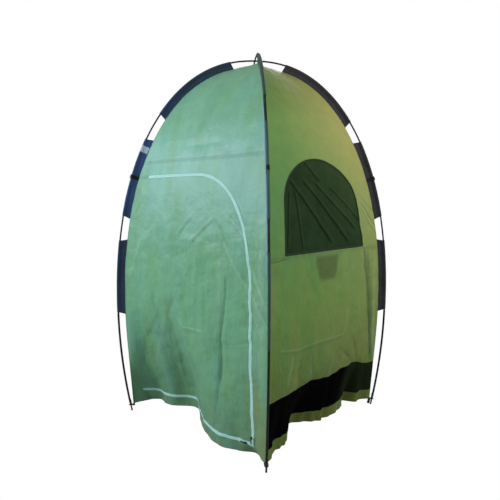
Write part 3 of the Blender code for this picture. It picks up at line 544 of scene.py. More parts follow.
def add_mesh(name, points, faces, finish, uvs=None, thickness=0.0, sharp=50):
    """A named piece from points in the row frame, with its UV layers, given thickness inward."""
    mesh = bpy.data.meshes.new(name)
    mesh.from_pydata([tuple(p) for p in points], [], [tuple(int(i) for i in face) for face in faces])
    corner = np.zeros(len(mesh.loops), int)
    mesh.loops.foreach_get("vertex_index", corner)
    for layer, values in (uvs or {}).items():
        mesh.uv_layers.new(name=layer).data.foreach_set("uv", np.asarray(values, np.float32)[corner].ravel())
    mesh.materials.append(finish)
    piece = bpy.data.objects.new(name, mesh)
    PIECES.objects.link(piece)
    if thickness:
        shell = piece.modifiers.new("Thickness", "SOLIDIFY")
        shell.thickness = thickness
        shell.offset = -1.0
        evaluated = piece.evaluated_get(bpy.context.evaluated_depsgraph_get())
        thick = bpy.data.meshes.new_from_object(evaluated)
        piece.modifiers.clear()
        piece.data = thick
        bpy.data.meshes.remove(mesh)
        thick.name = name
    piece.data.shade_smooth()
    piece.data.set_sharp_from_angle(angle=radians(sharp))
    return piece


def surface_area(points, triangles):
    a, b, c = (points[triangles[:, i]] for i in range(3))
    return float(np.linalg.norm(np.cross(b - a, c - a), axis=1).sum() / 2)


def cut_size(side, flat):
    """How wide and long the cloth is when its folds are laid out flat."""
    low, high = flat.min(0), flat.max(0)
    lines = []
    for v in np.linspace(low[1] + 0.001, high[1] - 0.001, 9):
        x = np.clip(np.linspace(low[0], high[0], 300), -half_width(v), half_width(v))
        lines.append(lifted(side, x, np.full(x.shape, v)))
    for x in np.linspace(low[0] * 0.9, high[0] * 0.9, 9):
        v = np.linspace(low[1], high[1], 300)
        lines.append(lifted(side, np.full(v.shape, x), v))
    lengths = [float(lengths_along(line)[-1]) for line in lines]
    return max(lengths[:9]) * SEWING_ROOM, max(lengths[9:]) * SEWING_ROOM


def declare(flat, area):
    size = flat[0] * flat[1]
    area = min(max(area, 0.3 * size), size)


def panel(name, node, side, outline, finish, slot="wall_cloth", held="hung", body="tent", shape=None, **cut):
    """One cut of cloth on a wall, which stands for its CAD node; cut holds its holes or its spacing."""
    flat, triangles, edges = flat_layout(outline, **cut)
    points = lifted(side, flat[:, 0], flat[:, 1], shape=shape)
    piece = add_mesh(name, points, triangles, finish, {"cloth": flat, "edge": edges}, CLOTH)
    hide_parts(node)
    ride_or_bend(piece, body)
    declare(cut_size(side, flat), surface_area(points, triangles))


def wall_outline(low, high, spacing=0.03):
    """A wall's outline between two lengths of its run, from its bottom left round to its top left."""
    runs = np.linspace(low, high, max(2, round((high - low) / spacing) + 1))
    right = [(float(half_width(v)), v) for v in runs]
    return right + [(-x, v) for x, v in right[::-1]]


def to_run(line):
    return [(x, run_at(z)) for x, z in line]


def door_zip_line(inset=0.0):
    """The door's zipped edge, from its bottom left up its right side and back over its top."""
    right = DOOR_RIGHT_X - inset
    rise = DOOR_TOP - inset - DOOR_SPRING_HEIGHT
    power = 2 / DOOR_ARCH_POWER
    turns = np.linspace(0.0, pi / 2, 60)
    crown = [(right * cos(t) ** power, DOOR_SPRING_HEIGHT + rise * sin(t) ** power) for t in turns[:-1]]
    return [(right, DOOR_BOTTOM + inset), *crown, (0.0, DOOR_TOP - inset)]


def door_outline(inset):
    left = DOOR_HINGE_X + inset
    return [(left, DOOR_BOTTOM + inset), *door_zip_line(inset), (left, DOOR_TOP - inset)]


def window_outline(growth, base):
    half = WINDOW_SPRING_HALF_WIDTH + growth
    rise = WINDOW_TOP - WINDOW_SPRING_HEIGHT + growth
    flare = (WINDOW_BASE_HALF_WIDTH - WINDOW_SPRING_HALF_WIDTH) / (WINDOW_SPRING_HEIGHT - WAIST_SEAM_HEIGHT)
    base_half = half + flare * (WINDOW_SPRING_HEIGHT - base)
    crown = [
        (WINDOW_CENTRE + half * cos(t), WINDOW_SPRING_HEIGHT + rise * sin(t)) for t in np.linspace(0, pi, 61)
    ]
    return [(WINDOW_CENTRE - base_half, base), (WINDOW_CENTRE + base_half, base), *crown]


def beside(line, distance):
    """A broken line moved to its right by a distance, with mitred corners."""
    line = np.asarray(line, float)
    ways = np.diff(line, axis=0)
    ways /= np.hypot(ways[:, 0], ways[:, 1])[:, None]
    rights = np.stack([ways[:, 1], -ways[:, 0]], 1)
    before, after = np.concatenate([rights[:1], rights]), np.concatenate([rights, rights[-1:]])
    middle = before + after
    middle /= np.hypot(middle[:, 0], middle[:, 1])[:, None]
    return line + middle * (distance / (middle * after).sum(1))[:, None]


def lengths_along(points):
    return np.concatenate([[0.0], np.cumsum(np.linalg.norm(np.diff(points, axis=0), axis=1))])


def grid_faces(rows, columns, flip=False):
    """Faces of a grid of points that is stored row by row."""
    faces = []
    for row in range(rows - 1):
        for column in range(columns - 1):
            at = row * columns + column
            face = (at, at + columns, at + columns + 1, at + 1)
            faces.append(face[::-1] if flip else face)
    return faces


def ride_or_bend(piece, body):
    if body == "door":
        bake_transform(piece)
    elif body == "curtain":
        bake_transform(piece)
    else:
        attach(piece, body)


def ribbon(name, side, line, near, far, finish, out=0.0009, body="tent"):
    """A strip sewn along a line of a wall, from one distance beside it to another, a little crowned."""
    line = resampled(line, RIBBON_SPACING)
    shares = np.linspace(0.0, 1.0, 5)
    flat = np.concatenate([beside(line, near + (far - near) * share) for share in shares])
    crown = np.repeat(out * (1.0 - 0.45 * (2.0 * shares - 1.0) ** 4), len(line))
    points = lifted(side, flat[:, 0], flat[:, 1], out=crown)
    along = np.tile(lengths_along(line), len(shares))
    across = np.repeat(shares * abs(far - near), len(line))
    edge = np.minimum(across, abs(far - near) - across)
    layers = {"cloth": pairs(across, along), "edge": pairs(edge, along)}
    piece = add_mesh(name, points, grid_faces(len(shares), len(line), far < near), finish, layers, CLOTH)
    ride_or_bend(piece, body)
    return piece, float(along[-1])


# Materials


class Share:
    """A value in a shader that can be reckoned with like a number: each step makes a math node."""

    def __init__(self, tree, socket):
        self.tree = tree
        self.socket = socket

    def step(self, operation, *others):
        return add_node(self.tree, "Math", dict(enumerate((self, *others))), operation=operation)

    def __add__(self, other):
        return self.step("ADD", other)

    def __sub__(self, other):
        return self.step("SUBTRACT", other)

    def __rsub__(self, other):
        return add_node(self.tree, "Math", {0: other, 1: self}, operation="SUBTRACT")

    def __mul__(self, other):
        return self.step("MULTIPLY", other)

    def __truediv__(self, other):
        return self.step("DIVIDE", other)

    def clamped(self):
        return add_node(self.tree, "Clamp", {"Value": self})

    def mapped(self, low, high, at_low, at_high, kind="LINEAR"):
        ends = {"From Min": low, "From Max": high, "To Min": at_low, "To Max": at_high}
        return add_node(self.tree, "MapRange", {"Value": self, **ends}, interpolation_type=kind)


def feed(socket, value):
    """Gives a socket a link from a share, a colour or a plain value."""
    if isinstance(value, Share):
        value.tree.links.new(value.socket, socket)
    elif socket.type == "RGBA":
        socket.default_value = (*value, 1.0)
    else:
        socket.default_value = value


def add_node(tree, kind, inputs, output=0, **settings):
    """A shader node with its settings and inputs, as the share that one of its outputs gives."""
    made = tree.nodes.new("ShaderNode" + kind)
    for name, value in settings.items():
        setattr(made, name, value)
    for name, value in inputs.items():
        feed(made.inputs[name], value)
    return Share(tree, made.outputs[output])


def largest(parts):
    found, *others = parts
    for part in others:
        found = found.step("MAXIMUM", part)
    return found


def mixed(share, first, second):
    """A colour between two colours."""
    return add_node(share.tree, "Mix", {"Factor": share, 6: first, 7: second}, 2, data_type="RGBA")


def ramp(share, stops):
    made = share.tree.nodes.new("ShaderNodeValToRGB")
    elements = made.color_ramp.elements
    while len(elements) < len(stops):
        elements.new(0.5)
    for element, (place, colour) in zip(elements, stops):
        element.position = place
        element.color = (*colour, 1.0)
    feed(made.inputs[0], share)
    return Share(share.tree, made.outputs[0])


def shader_of(name, roughness, metallic=0.0, sheen=0.0, specular=SPECULAR):
    made = bpy.data.materials.new(name)
    made.use_nodes = True
    shader = made.node_tree.nodes["Principled BSDF"]
    shader.inputs["Roughness"].default_value = roughness
    shader.inputs["Metallic"].default_value = metallic
    shader.inputs["Sheen Weight"].default_value = sheen
    shader.inputs["Sheen Roughness"].default_value = 0.4
    shader.inputs["Specular IOR Level"].default_value = 0.5 if metallic else specular
    return made, made.node_tree, shader


def split(place):
    """The three numbers of a place."""
    parts = place.tree.nodes.new("ShaderNodeSeparateXYZ")
    feed(parts.inputs[0], place)
    return [Share(place.tree, part) for part in parts.outputs]


def cloth_coordinates(tree, layer):
    place = add_node(tree, "UVMap", {}, uv_map=layer)
    return place, *split(place)[:2]


def height_share(tree):
    """How high a point is in the tent: nought on the ground, one at the crown."""
    return split(add_node(tree, "TexCoord", {}, "Object"))[2] / STOPS_HEIGHT


def noise(place, scale, detail=3.0, roughness=0.55, stretch=None):
    if stretch:
        place = add_node(place.tree, "Mapping", {"Vector": place, "Scale": stretch})
    inputs = {"Vector": place, "Scale": scale, "Detail": detail, "Roughness": roughness}
    return add_node(place.tree, "TexNoise", inputs, "Fac")


def woven_threads(place, warp, weft):
    """Two sets of threads across each other, from the pitch of each."""
    sets = []
    for direction, period in (("X", warp), ("Y", weft)):
        inputs = {"Vector": place, "Scale": pi / 10 / period, "Distortion": 0.4, "Detail": 1.0}
        sets.append(add_node(place.tree, "TexWave", inputs, "Fac", bands_direction=direction))
    return sets[0] * sets[1]


def bumped(shader, *layers):
    """Bumps one on the other, each a height with its distance and strength."""
    before = {}
    for height, distance, strength in layers:
        inputs = {"Distance": distance, "Strength": strength, "Height": height, **before}
        before = {"Normal": add_node(height.tree, "Bump", inputs)}
    feed(shader.inputs["Normal"], before["Normal"])


def stitch_rows(gap, along, offsets):
    """Rows of stitches beside a cloth's edge: one on the thread, nought elsewhere."""
    rows = []
    for offset in offsets:
        on_line = (gap - offset).step("ABSOLUTE").step("LESS_THAN", THREAD_HALF_WIDTH)
        dash = (along / STITCH_PITCH).step("FRACT")
        rows.append(on_line * dash.step("LESS_THAN", STITCH_SHARE))
    return largest(rows)


def streak(x, v, start, end, width):
    """A line on the cloth as a soft share: one on it, nought off its sides and past its ends."""
    (start_x, start_z), (end_x, end_z) = start, end
    start_v, end_v = run_at(start_z), run_at(end_z)
    length = sqrt((end_x - start_x) ** 2 + (end_v - start_v) ** 2)
    way_x, way_v = (end_x - start_x) / length, (end_v - start_v) / length
    off_x, off_v = x - start_x, v - start_v
    along, aside = off_x * way_x + off_v * way_v, off_x * way_v - off_v * way_x
    beyond = largest([along * -1.0, along - length]).step("MAXIMUM", 0.0) * 0.25
    reach = aside.step("ABSOLUTE") + beyond
    return (1.0 - reach / width).step("MAXIMUM", 0.0)


def pocket_shadow_share(x, v):
    """The pocket behind the cloth blocks the light that comes through it: a painted shadow of its shape, with
    soft edges.
    """
    top, bottom = run_at(POCKET_TOP), run_at(POCKET_BOTTOM)
    widening = POCKET_TOP_HALF_WIDTH - POCKET_BOTTOM_HALF_WIDTH
    half = (v - bottom) / (top - bottom) * widening + POCKET_BOTTOM_HALF_WIDTH
    off_side = half - (x - POCKET_CENTRE).step("ABSOLUTE")
    rounded = off_side.step("SMOOTH_MIN", v - bottom, 0.05)
    return rounded.step("MINIMUM", top - v).mapped(-0.012, 0.02, 0.0, 0.55, "SMOOTHSTEP")


def tent_cloth(name, stops, backlight=None, lines=(), bands=(), thread=PALE_THREAD, gloss=SPECULAR, pocket=False):
    """Plain-woven polyester: threads, crinkles, patchy tint, felled edges, two rows of stitches and painted
    light and shade.
    """
    made, tree, shader = shader_of(name, 0.5, sheen=SHEEN_SHARE * gloss, specular=gloss)
    place, x, v = cloth_coordinates(tree, "cloth")
    _, gap, along = cloth_coordinates(tree, "edge")
    height = height_share(tree) + (noise(place, 3.2, 4.0, 0.6) - 0.5) * 0.05
    # Cloth colour up the wall, with the light and shade that change with height painted in
    colour = ramp(height, stops)
    # Painted light shining through the cloth from behind: stronger up high and towards one side
    if backlight:
        tint, slope, middle, power = backlight
        high = (height * 1.25).step("POWER", power).step("MINIMUM", 1.05)
        colour = mixed(((x * slope + middle) * high).clamped(), colour, tint)
    for tint, seed, strength in bands:
        shifted = add_node(tree, "Mapping", {"Vector": place, "Location": (seed, seed * 0.37, 0.0)})
        patch = (noise(shifted, 1.0, 2.0, 0.5, (8.5, 2.2, 1.0)) - 0.47) * strength
        colour = mixed(patch.step("MAXIMUM", 0.0).step("MINIMUM", 0.6), colour, tint)
    colour = mixed(noise(place, 1.0, 3.0, 0.6, (260.0, 9.0, 1.0)) * 0.05, colour, (0.9, 0.95, 0.88))
    blotch = noise(place, 14.0, 5.0, 0.62)
    colour = mixed(((0.62 - blotch) * 0.32).clamped(), colour, (0.02, 0.05, 0.03))
    uneven = noise(place, 26.0, 2.0) + 0.5
    # Painted shade, highlights and reflected colour along the creases and folds
    for creases, tint in lines:
        for knots, width, share in creases:
            line = largest([streak(x, v, *ends, width) for ends in zip(knots, knots[1:])])
            colour = mixed(line * uneven * share, colour, tint)
    # Painted shadow of the pocket behind the cloth, where it blocks the light coming through
    if pocket:
        colour = mixed(pocket_shadow_share(x, v), colour, (0.052, 0.062, 0.026))
    # A felled seam shows as a slightly darker, doubled band along the edge
    band = gap.mapped(*FELL_EDGE, 1.0, 0.0, "SMOOTHSTEP")
    colour = mixed(band * 0.06, colour, (0.03, 0.07, 0.04))
    rows = stitch_rows(gap, along, FELL_ROWS)
    feed(shader.inputs["Base Color"], mixed(rows * 0.55, colour, thread))
    feed(shader.inputs["Roughness"], blotch * 0.2 + 0.33)
    low = height.mapped(0.42, 0.7, 1.0, 0.12)
    bumped(
        shader,
        (noise(place, 1.0, 5.0, 0.65, (15.0, 2.0, 1.0)) * low, 0.022, 0.5),
        (noise(place, 17.0, 4.0, 0.55), 0.007, 0.5),
        (noise(place, 55.0, 6.0, 0.6), 0.0035, 0.5),
        (band + rows * 0.6, 0.0008, 0.8),
        (woven_threads(place, TENT_WEAVE, TENT_WEAVE), 0.0002, 0.35),
    )
    return made


def sleeve_cloth(name, stops, bright):
    """Heavier, slightly shiny cloth of the pole sleeves, with the light and shade that change up the pole
    painted into its tint.
    """
    made, tree, shader = shader_of(name, 0.5, sheen=0.06)
    place, _, _ = cloth_coordinates(tree, "cloth")
    _, gap, along = cloth_coordinates(tree, "edge")
    # Lighter in random patches, towards the bright tint
    lighter_patches = noise(place, 22.0, 5.0, 0.6) * noise(place, 5.0, 2.0, 0.5)
    colour = mixed(lighter_patches, ramp(height_share(tree), stops), bright)
    rows = stitch_rows(gap, along, SLEEVE_ROWS)
    feed(shader.inputs["Base Color"], mixed(rows * 0.6, colour, (0.12, 0.14, 0.18)))
    crinkle = noise(place, 80.0, 5.0, 0.6, (1.0, 0.6, 1.0))
    weave = woven_threads(place, SLEEVE_WEAVE, SLEEVE_WEAVE)
    bumped(shader, (crinkle, 0.0025, 0.5), (rows, 0.0005, 0.7), (weave, 0.0002, 0.5))
    return made


def webbing(name, colour, lightness=0.09):
    """Flat woven strap with ribs along it."""
    made, tree, shader = shader_of(name, 0.75, sheen=0.08)
    place, _, _ = cloth_coordinates(tree, "cloth")
    woven = woven_threads(place, WEBBING_RIBS, WEBBING_PICKS)
    lighter = tuple(min(1.0, 0.6 * part + lightness) for part in colour)
    feed(shader.inputs["Base Color"], mixed(woven * noise(place, 40.0), colour, lighter))
    bumped(shader, (woven, 0.0005, 0.8))
    return made


def netting(name, thread, bright, period, open_share, roughness=0.55, creases=(), clear=None, pale=None):
    """Knitted mesh: round holes in rows, with a fine thread between them, and painted shade in its creases
    with a painted highlight beside each.

    clear paints on the dim inner wall seen through it, from one place across the wall on, and pale paints
    light onto it towards its upper right.
    """
    made, tree, shader = shader_of(name, roughness, specular=0.04)
    place, x, v = cloth_coordinates(tree, "cloth")
    _, gap, _ = cloth_coordinates(tree, "edge")
    woven = woven_threads(place, period, period)
    share = noise(place, 9.0, 4.0, 0.6) * 0.9
    # Painted light, stronger towards the upper right
    if pale:
        slope, middle, strength = pale
        share = share + ((x + v) * slope + middle).step("MAXIMUM", 0.0) * strength
    lines = []
    # Each crease gets painted shade, with a painted highlight just beside it
    for *ends, width in creases:
        lines.append(streak(x, v, *ends, width))
        shifted = [(across + NET_GLEAM_SHIFT, up + NET_GLEAM_SHIFT) for across, up in ends]
        share = share + streak(x, v, *shifted, width * 1.5) * 0.3
    colour = mixed(share, thread, bright)
    if lines:
        colour = mixed(largest(lines) * 0.85, colour, (0.002, 0.005, 0.003))
    if clear:
        start, width, tint = clear
        colour = mixed(((x - start) / width).clamped(), colour, tint)
    feed(shader.inputs["Base Color"], colour)
    in_hole = woven.step("GREATER_THAN", 1.0 - open_share)
    feed(shader.inputs["Alpha"], 1.0 - in_hole * gap.step("GREATER_THAN", NET_MARGIN))
    bumped(shader, (noise(place, 30.0, 4.0), 0.004, 0.4), (woven, 0.0003, 0.5))
    return made


def hard(name, colour, worn_colour, roughness, metallic, scale=60.0, stretch=(1.0, 1.0, 1.0)):
    """A hard finish with fine scratches and patches where it has rubbed."""
    made, tree, shader = shader_of(name, roughness, metallic)
    place = add_node(tree, "TexCoord", {}, "Object")
    patches = noise(place, scale, 4.0, 0.6).step("POWER", 2.0)
    scratches = noise(place, scale * 6, 6.0, 0.7, stretch)
    feed(shader.inputs["Base Color"], mixed(patches, colour, worn_colour))
    feed(shader.inputs["Roughness"], scratches * 0.25 + (roughness - 0.1))
    bumped(shader, (scratches, 0.0002, 0.4))
    return made


# Tints of the painted shade, painted highlight and painted reflection along creases and folds
SHADOW = (0.02, 0.07, 0.045)
GLEAM = (0.62, 0.86, 0.74)
GLOW = (0.27, 0.27, 0.075)
# Painted creases of the netting: where each starts and ends, and its width
NET_CREASES = thousandths((
    ((-308, 1382), (4, 1080), 11),
    ((-194, 1386), (186, 1070), 11),
    ((-88, 1380), (280, 1136), 10),
    ((-338, 1332), (-390, 1074), 8),
    ((-290, 1334), (-264, 1066), 8),
    ((56, 1362), (338, 1182), 7),
    ((-170, 1500), (-60, 1410), 9),
))

# Cloth colour up each wall with painted light and shade: the door wall is paler and bluer where it reflects
# the sky, and both walls are darker low down and towards the crown
DOOR_CLOTH_AND_LIGHT_STOPS = (
    (0.0, (0.12, 0.25, 0.13)),
    (0.12, (0.12, 0.33, 0.175)),
    (0.3, (0.15, 0.42, 0.23)),
    (0.48, (0.163, 0.44, 0.262)),
    (0.6, (0.2, 0.495, 0.385)),
    (0.72, (0.245, 0.565, 0.47)),
    (0.82, (0.185, 0.48, 0.31)),
    (0.95, (0.19, 0.45, 0.27)),
)
WALL_CLOTH_AND_LIGHT_STOPS = (
    (0.0, (0.105, 0.135, 0.012)),
    (0.12, (0.095, 0.145, 0.016)),
    (0.22, (0.105, 0.185, 0.024)),
    (0.35, (0.13, 0.26, 0.046)),
    (0.6, (0.12, 0.29, 0.085)),
    (0.8, (0.18, 0.345, 0.085)),
    (0.88, (0.12, 0.25, 0.05)),
    (0.94, (0.075, 0.175, 0.028)),
    (0.98, (0.045, 0.115, 0.012)),
)
# Warm tint of the painted light that shines through the cloth from behind
PAINTED_BACKLIGHT = (0.5, 0.47, 0.15)

# Painted shade and highlights along the creases of each wall: the points each runs through, how wide it is
# and how much it tints the cloth
DOOR_SHADOWS = thousandths((
    (((278, 900), (268, 740), (243, 590), (238, 400)), 12, 420),
    (((240, 460), (205, 200)), 26, 220),
    (((222, 1168), (292, 1050)), 12, 160),
    (((120, 920), (142, 580)), 26, 100),
    (((-85, 1095), (-30, 1165), (10, 1200)), 9, 220),
    (((40, 1085), (90, 1132), (160, 1190)), 11, 240),
    (((285, 1225), (345, 1170), (415, 1060)), 10, 140),
    (((-140, 740), (-205, 630)), 18, 220),
    (((-310, 610), (-420, 460), (-480, 310)), 26, 220),
    (((-180, 620), (-262, 400)), 24, 140),
    (((-188, 440), (-228, 290)), 20, 200),
))
# The zip draws the cloth beside it into short slanting folds, left of it round the arch and right of it below
ARCH_PULLS = thousandths((((325, 1295), (372, 1235)), ((312, 1258), (392, 1165)), ((300, 1200), (402, 1105))))
SIDE_PULLS = thousandths((((452, 1130), (500, 1030)), ((456, 930), (530, 830)), ((454, 760), (515, 650))))
ZIP_PULLS = ARCH_PULLS + SIDE_PULLS

DOOR_GLEAMS = thousandths((
    (((-100, 645), (-52, 610), (104, 618)), 10, 170),
    (((-96, 1094), (26, 1094), (138, 1084)), 8, 150),
    (((-98, 1118), (-42, 1182), (-4, 1218)), 9, 140),
    (((24, 1100), (82, 1150), (144, 1200)), 14, 200),
    (((276, 1244), (334, 1188), (408, 1080)), 9, 140),
    (((282, 1056), (342, 970), (402, 896)), 13, 150),
    (((446, 988), (488, 890), (536, 804)), 10, 180),
    (((454, 854), (546, 710)), 10, 140),
    (((-268, 570), (-410, 300)), 24, 100),
    (((-502, 866), (-414, 1070)), 14, 120),
    (((314, 578), (430, 606)), 8, 120),
    (((495, 1200), (500, 500)), 50, 130),
    (((232, 1000), (244, 720)), 30, 100),
))
WINDOW_SHADOWS = thousandths((
    (((370, 1330), (522, 1236)), 7, 340),
    (((382, 1288), (532, 1146)), 8, 400),
    (((378, 1240), (534, 1096)), 7, 320),
    (((430, 930), (455, 700), (480, 480)), 34, 400),
    (((-545, 1005), (-470, 1011), (-392, 1019)), 5.5, 500),
    (((384, 995), (418, 814), (434, 628), (500, 398)), 26, 550),
    (((-274, 484), (-272, 370)), 12, 280),
    (((-168, 468), (-132, 356)), 13, 280),
    (((124, 460), (262, 362)), 13, 300),
    (((248, 514), (328, 372)), 16, 240),
    (((-430, 562), (-320, 538), (-150, 540), (126, 530)), 14, 160),
))
WINDOW_GLEAMS = thousandths((
    (((376, 1312), (522, 1216)), 8, 70),
    (((386, 1266), (532, 1126)), 8, 80),
    (((384, 1222), (534, 1078)), 8, 60),
    (((-444, 576), (-320, 554), (-150, 556), (126, 546)), 6, 100),
    (((126, 546), (188, 620), (170, 682)), 7, 110),
    (((510, 930), (495, 620), (530, 384)), 22, 120),
    (((-352, 504), (-376, 408)), 16, 100),
))
# The first lines of both window tables lie on the upper cloth, the others on the lower
UPPER_CREASES = 3

# Dye and light make bands that are bluer or greener than the rest
DOOR_BANDS = (((0.13, 0.4, 0.33), 3.1, 2.2), ((0.15, 0.4, 0.15), 11.7, 2.0))
WALL_BANDS = (((0.21, 0.26, 0.06), 5.3, 1.8), ((0.09, 0.26, 0.07), 17.9, 1.6))

# Each fold beside the zip is painted: a highlight along it and a shade just below it
DOOR_GLEAMS += tuple((ends, 0.007, 0.12) for ends in ZIP_PULLS)
DOOR_SHADOWS += tuple((tuple((x, z - 0.014) for x, z in ends), 0.007, 0.12) for ends in ZIP_PULLS)
# The ground and the window wall's colour are thrown back on the door wall low at its right corner
DOOR_GLOWS = ((((0.52, -0.02), (0.47, 0.3)), 0.085, 0.5),)

OLIVE = {"thread": (0.25, 0.32, 0.15)}
door_cloth = tent_cloth(
    "door_wall_nylon",
    DOOR_CLOTH_AND_LIGHT_STOPS,
    lines=((DOOR_SHADOWS, SHADOW), (DOOR_GLEAMS, GLEAM), (DOOR_GLOWS, GLOW)),
    bands=DOOR_BANDS,
)
window_cloth = tent_cloth(
    "window_wall_nylon",
    WALL_CLOTH_AND_LIGHT_STOPS,
    (PAINTED_BACKLIGHT, 1.25, 0.4, 2.0),
    ((WINDOW_SHADOWS[:UPPER_CREASES], SHADOW), (WINDOW_GLEAMS[:UPPER_CREASES], GLEAM)),
    gloss=0.015,
    **OLIVE,
)
lower_cloth = tent_cloth(
    "window_lower_nylon",
    WALL_CLOTH_AND_LIGHT_STOPS,
    (PAINTED_BACKLIGHT, 0.8, 0.17, 1.0),
    ((WINDOW_SHADOWS[UPPER_CREASES:], SHADOW), (WINDOW_GLEAMS[UPPER_CREASES:], GLEAM)),
    WALL_BANDS,
    gloss=0.1,
    pocket=True,
    **OLIVE,
)
rear_cloth = tent_cloth("rear_wall_nylon", WALL_CLOTH_AND_LIGHT_STOPS, (PAINTED_BACKLIGHT, -0.6, 0.2, 1.0), bands=WALL_BANDS, **OLIVE)
left_cloth = tent_cloth("left_wall_nylon", DOOR_CLOTH_AND_LIGHT_STOPS, bands=DOOR_BANDS)
# The sleeves are all one dark navy cloth. Each stop table and lit copy below paints the light and shade on
# its legs: a bright blue sheen on the left, dim grey on the right, slate on the front and rear
NAVY_CLOTH_AND_LIGHT_STOPS = (
    (0.5, (0.014, 0.027, 0.06)),
    (0.62, (0.034, 0.085, 0.235)),
    (0.8, (0.04, 0.1, 0.275)),
    (0.86, (0.024, 0.058, 0.145)),
    (0.95, (0.016, 0.033, 0.04)),
)
CHARCOAL_CLOTH_AND_LIGHT_STOPS = (
    (0.5, (0.008, 0.013, 0.024)),
    (0.68, (0.012, 0.015, 0.028)),
    (0.74, (0.03, 0.026, 0.034)),
    (0.92, (0.036, 0.031, 0.042)),
)
SLATE_CLOTH_AND_LIGHT_STOPS = (
    (0.25, (0.016, 0.045, 0.028)),
    (0.5, (0.022, 0.066, 0.048)),
    (0.68, (0.03, 0.092, 0.082)),
    (0.8, (0.03, 0.086, 0.076)),
    (0.88, (0.018, 0.052, 0.03)),
    (0.95, (0.022, 0.052, 0.032)),
    (0.99, (0.012, 0.018, 0.016)),
)
left_lit_sleeve = sleeve_cloth("sleeve_lit_left", NAVY_CLOTH_AND_LIGHT_STOPS, (0.05, 0.1, 0.22))
right_lit_sleeve = sleeve_cloth("sleeve_lit_right", CHARCOAL_CLOTH_AND_LIGHT_STOPS, (0.055, 0.052, 0.06))
front_rear_lit_sleeve = sleeve_cloth("sleeve_lit_front_rear", SLATE_CLOTH_AND_LIGHT_STOPS, (0.05, 0.11, 0.11))
SLEEVE_LIT_COPIES = {"left": left_lit_sleeve, "front": front_rear_lit_sleeve, "right": right_lit_sleeve, "rear": front_rear_lit_sleeve}
strap = webbing("strap_webbing", (0.008, 0.008, 0.009), 0.02)
label = webbing("blank_label", (0.66, 0.78, 1.0), 0.5)
window_net = netting(
    "window_net",
    (0.006, 0.026, 0.009),
    (0.04, 0.076, 0.028),
    0.0016,
    0.3,
    creases=NET_CREASES,
    pale=(1.6, -2.0, 0.9),
)
# Black mesh, drawn almost shut so that it also stands for the shade inside the tent behind it: painted shade,
# with the dim inner wall painted on at the right
vent_net = netting(
    "vent_net",
    (0.0, 0.0, 0.0),
    (0.001, 0.0012, 0.001),
    0.0012,
    0.04,
    1.0,
    clear=(0.17, 0.1, (0.012, 0.019, 0.007)),
)
curtain_cloth = tent_cloth("curtain_nylon", ((0.0, (0.03, 0.07, 0.025)), (1.0, (0.045, 0.1, 0.035))))
binding = webbing("window_binding", (0.01, 0.026, 0.01), 0.01)
zip_tape = webbing("zip_tape", (0.5, 0.9, 0.85), 0.3)
elastic = webbing("cord_elastic", (0.62, 0.6, 0.55), 0.3)
zip_teeth = hard("zip_teeth", (0.58, 0.92, 0.9), (0.74, 0.96, 0.95), 0.35, 0.0)
# The pale blue of the rolled seam by the front corner is a painted highlight where light catches it
pale_seam_highlight = webbing("corner_seam_highlight", (0.24, 0.52, 0.56))
POLE_BLACK, POLE_WORN = (0.004, 0.004, 0.004), (0.016, 0.015, 0.013)
pole_finish = hard("pole_fibreglass", POLE_BLACK, POLE_WORN, 0.45, 0.0, 40.0, (1.0, 1.0, 0.1))
ferrule_finish = hard("ferrule_steel", (0.3, 0.29, 0.28), (0.16, 0.15, 0.14), 0.35, 1.0, 90.0)
tip_finish = hard("tip_black_steel", (0.012, 0.012, 0.012), (0.07, 0.068, 0.065), 0.4, 0.2, 120.0)
grommet_finish = hard("grommet_brass", (0.55, 0.5, 0.4), (0.28, 0.25, 0.19), 0.3, 1.0, 200.0)
slider_finish = hard("slider_zinc", (0.05, 0.05, 0.052), (0.16, 0.16, 0.16), 0.38, 0.9, 300.0)


# Cloth of the walls


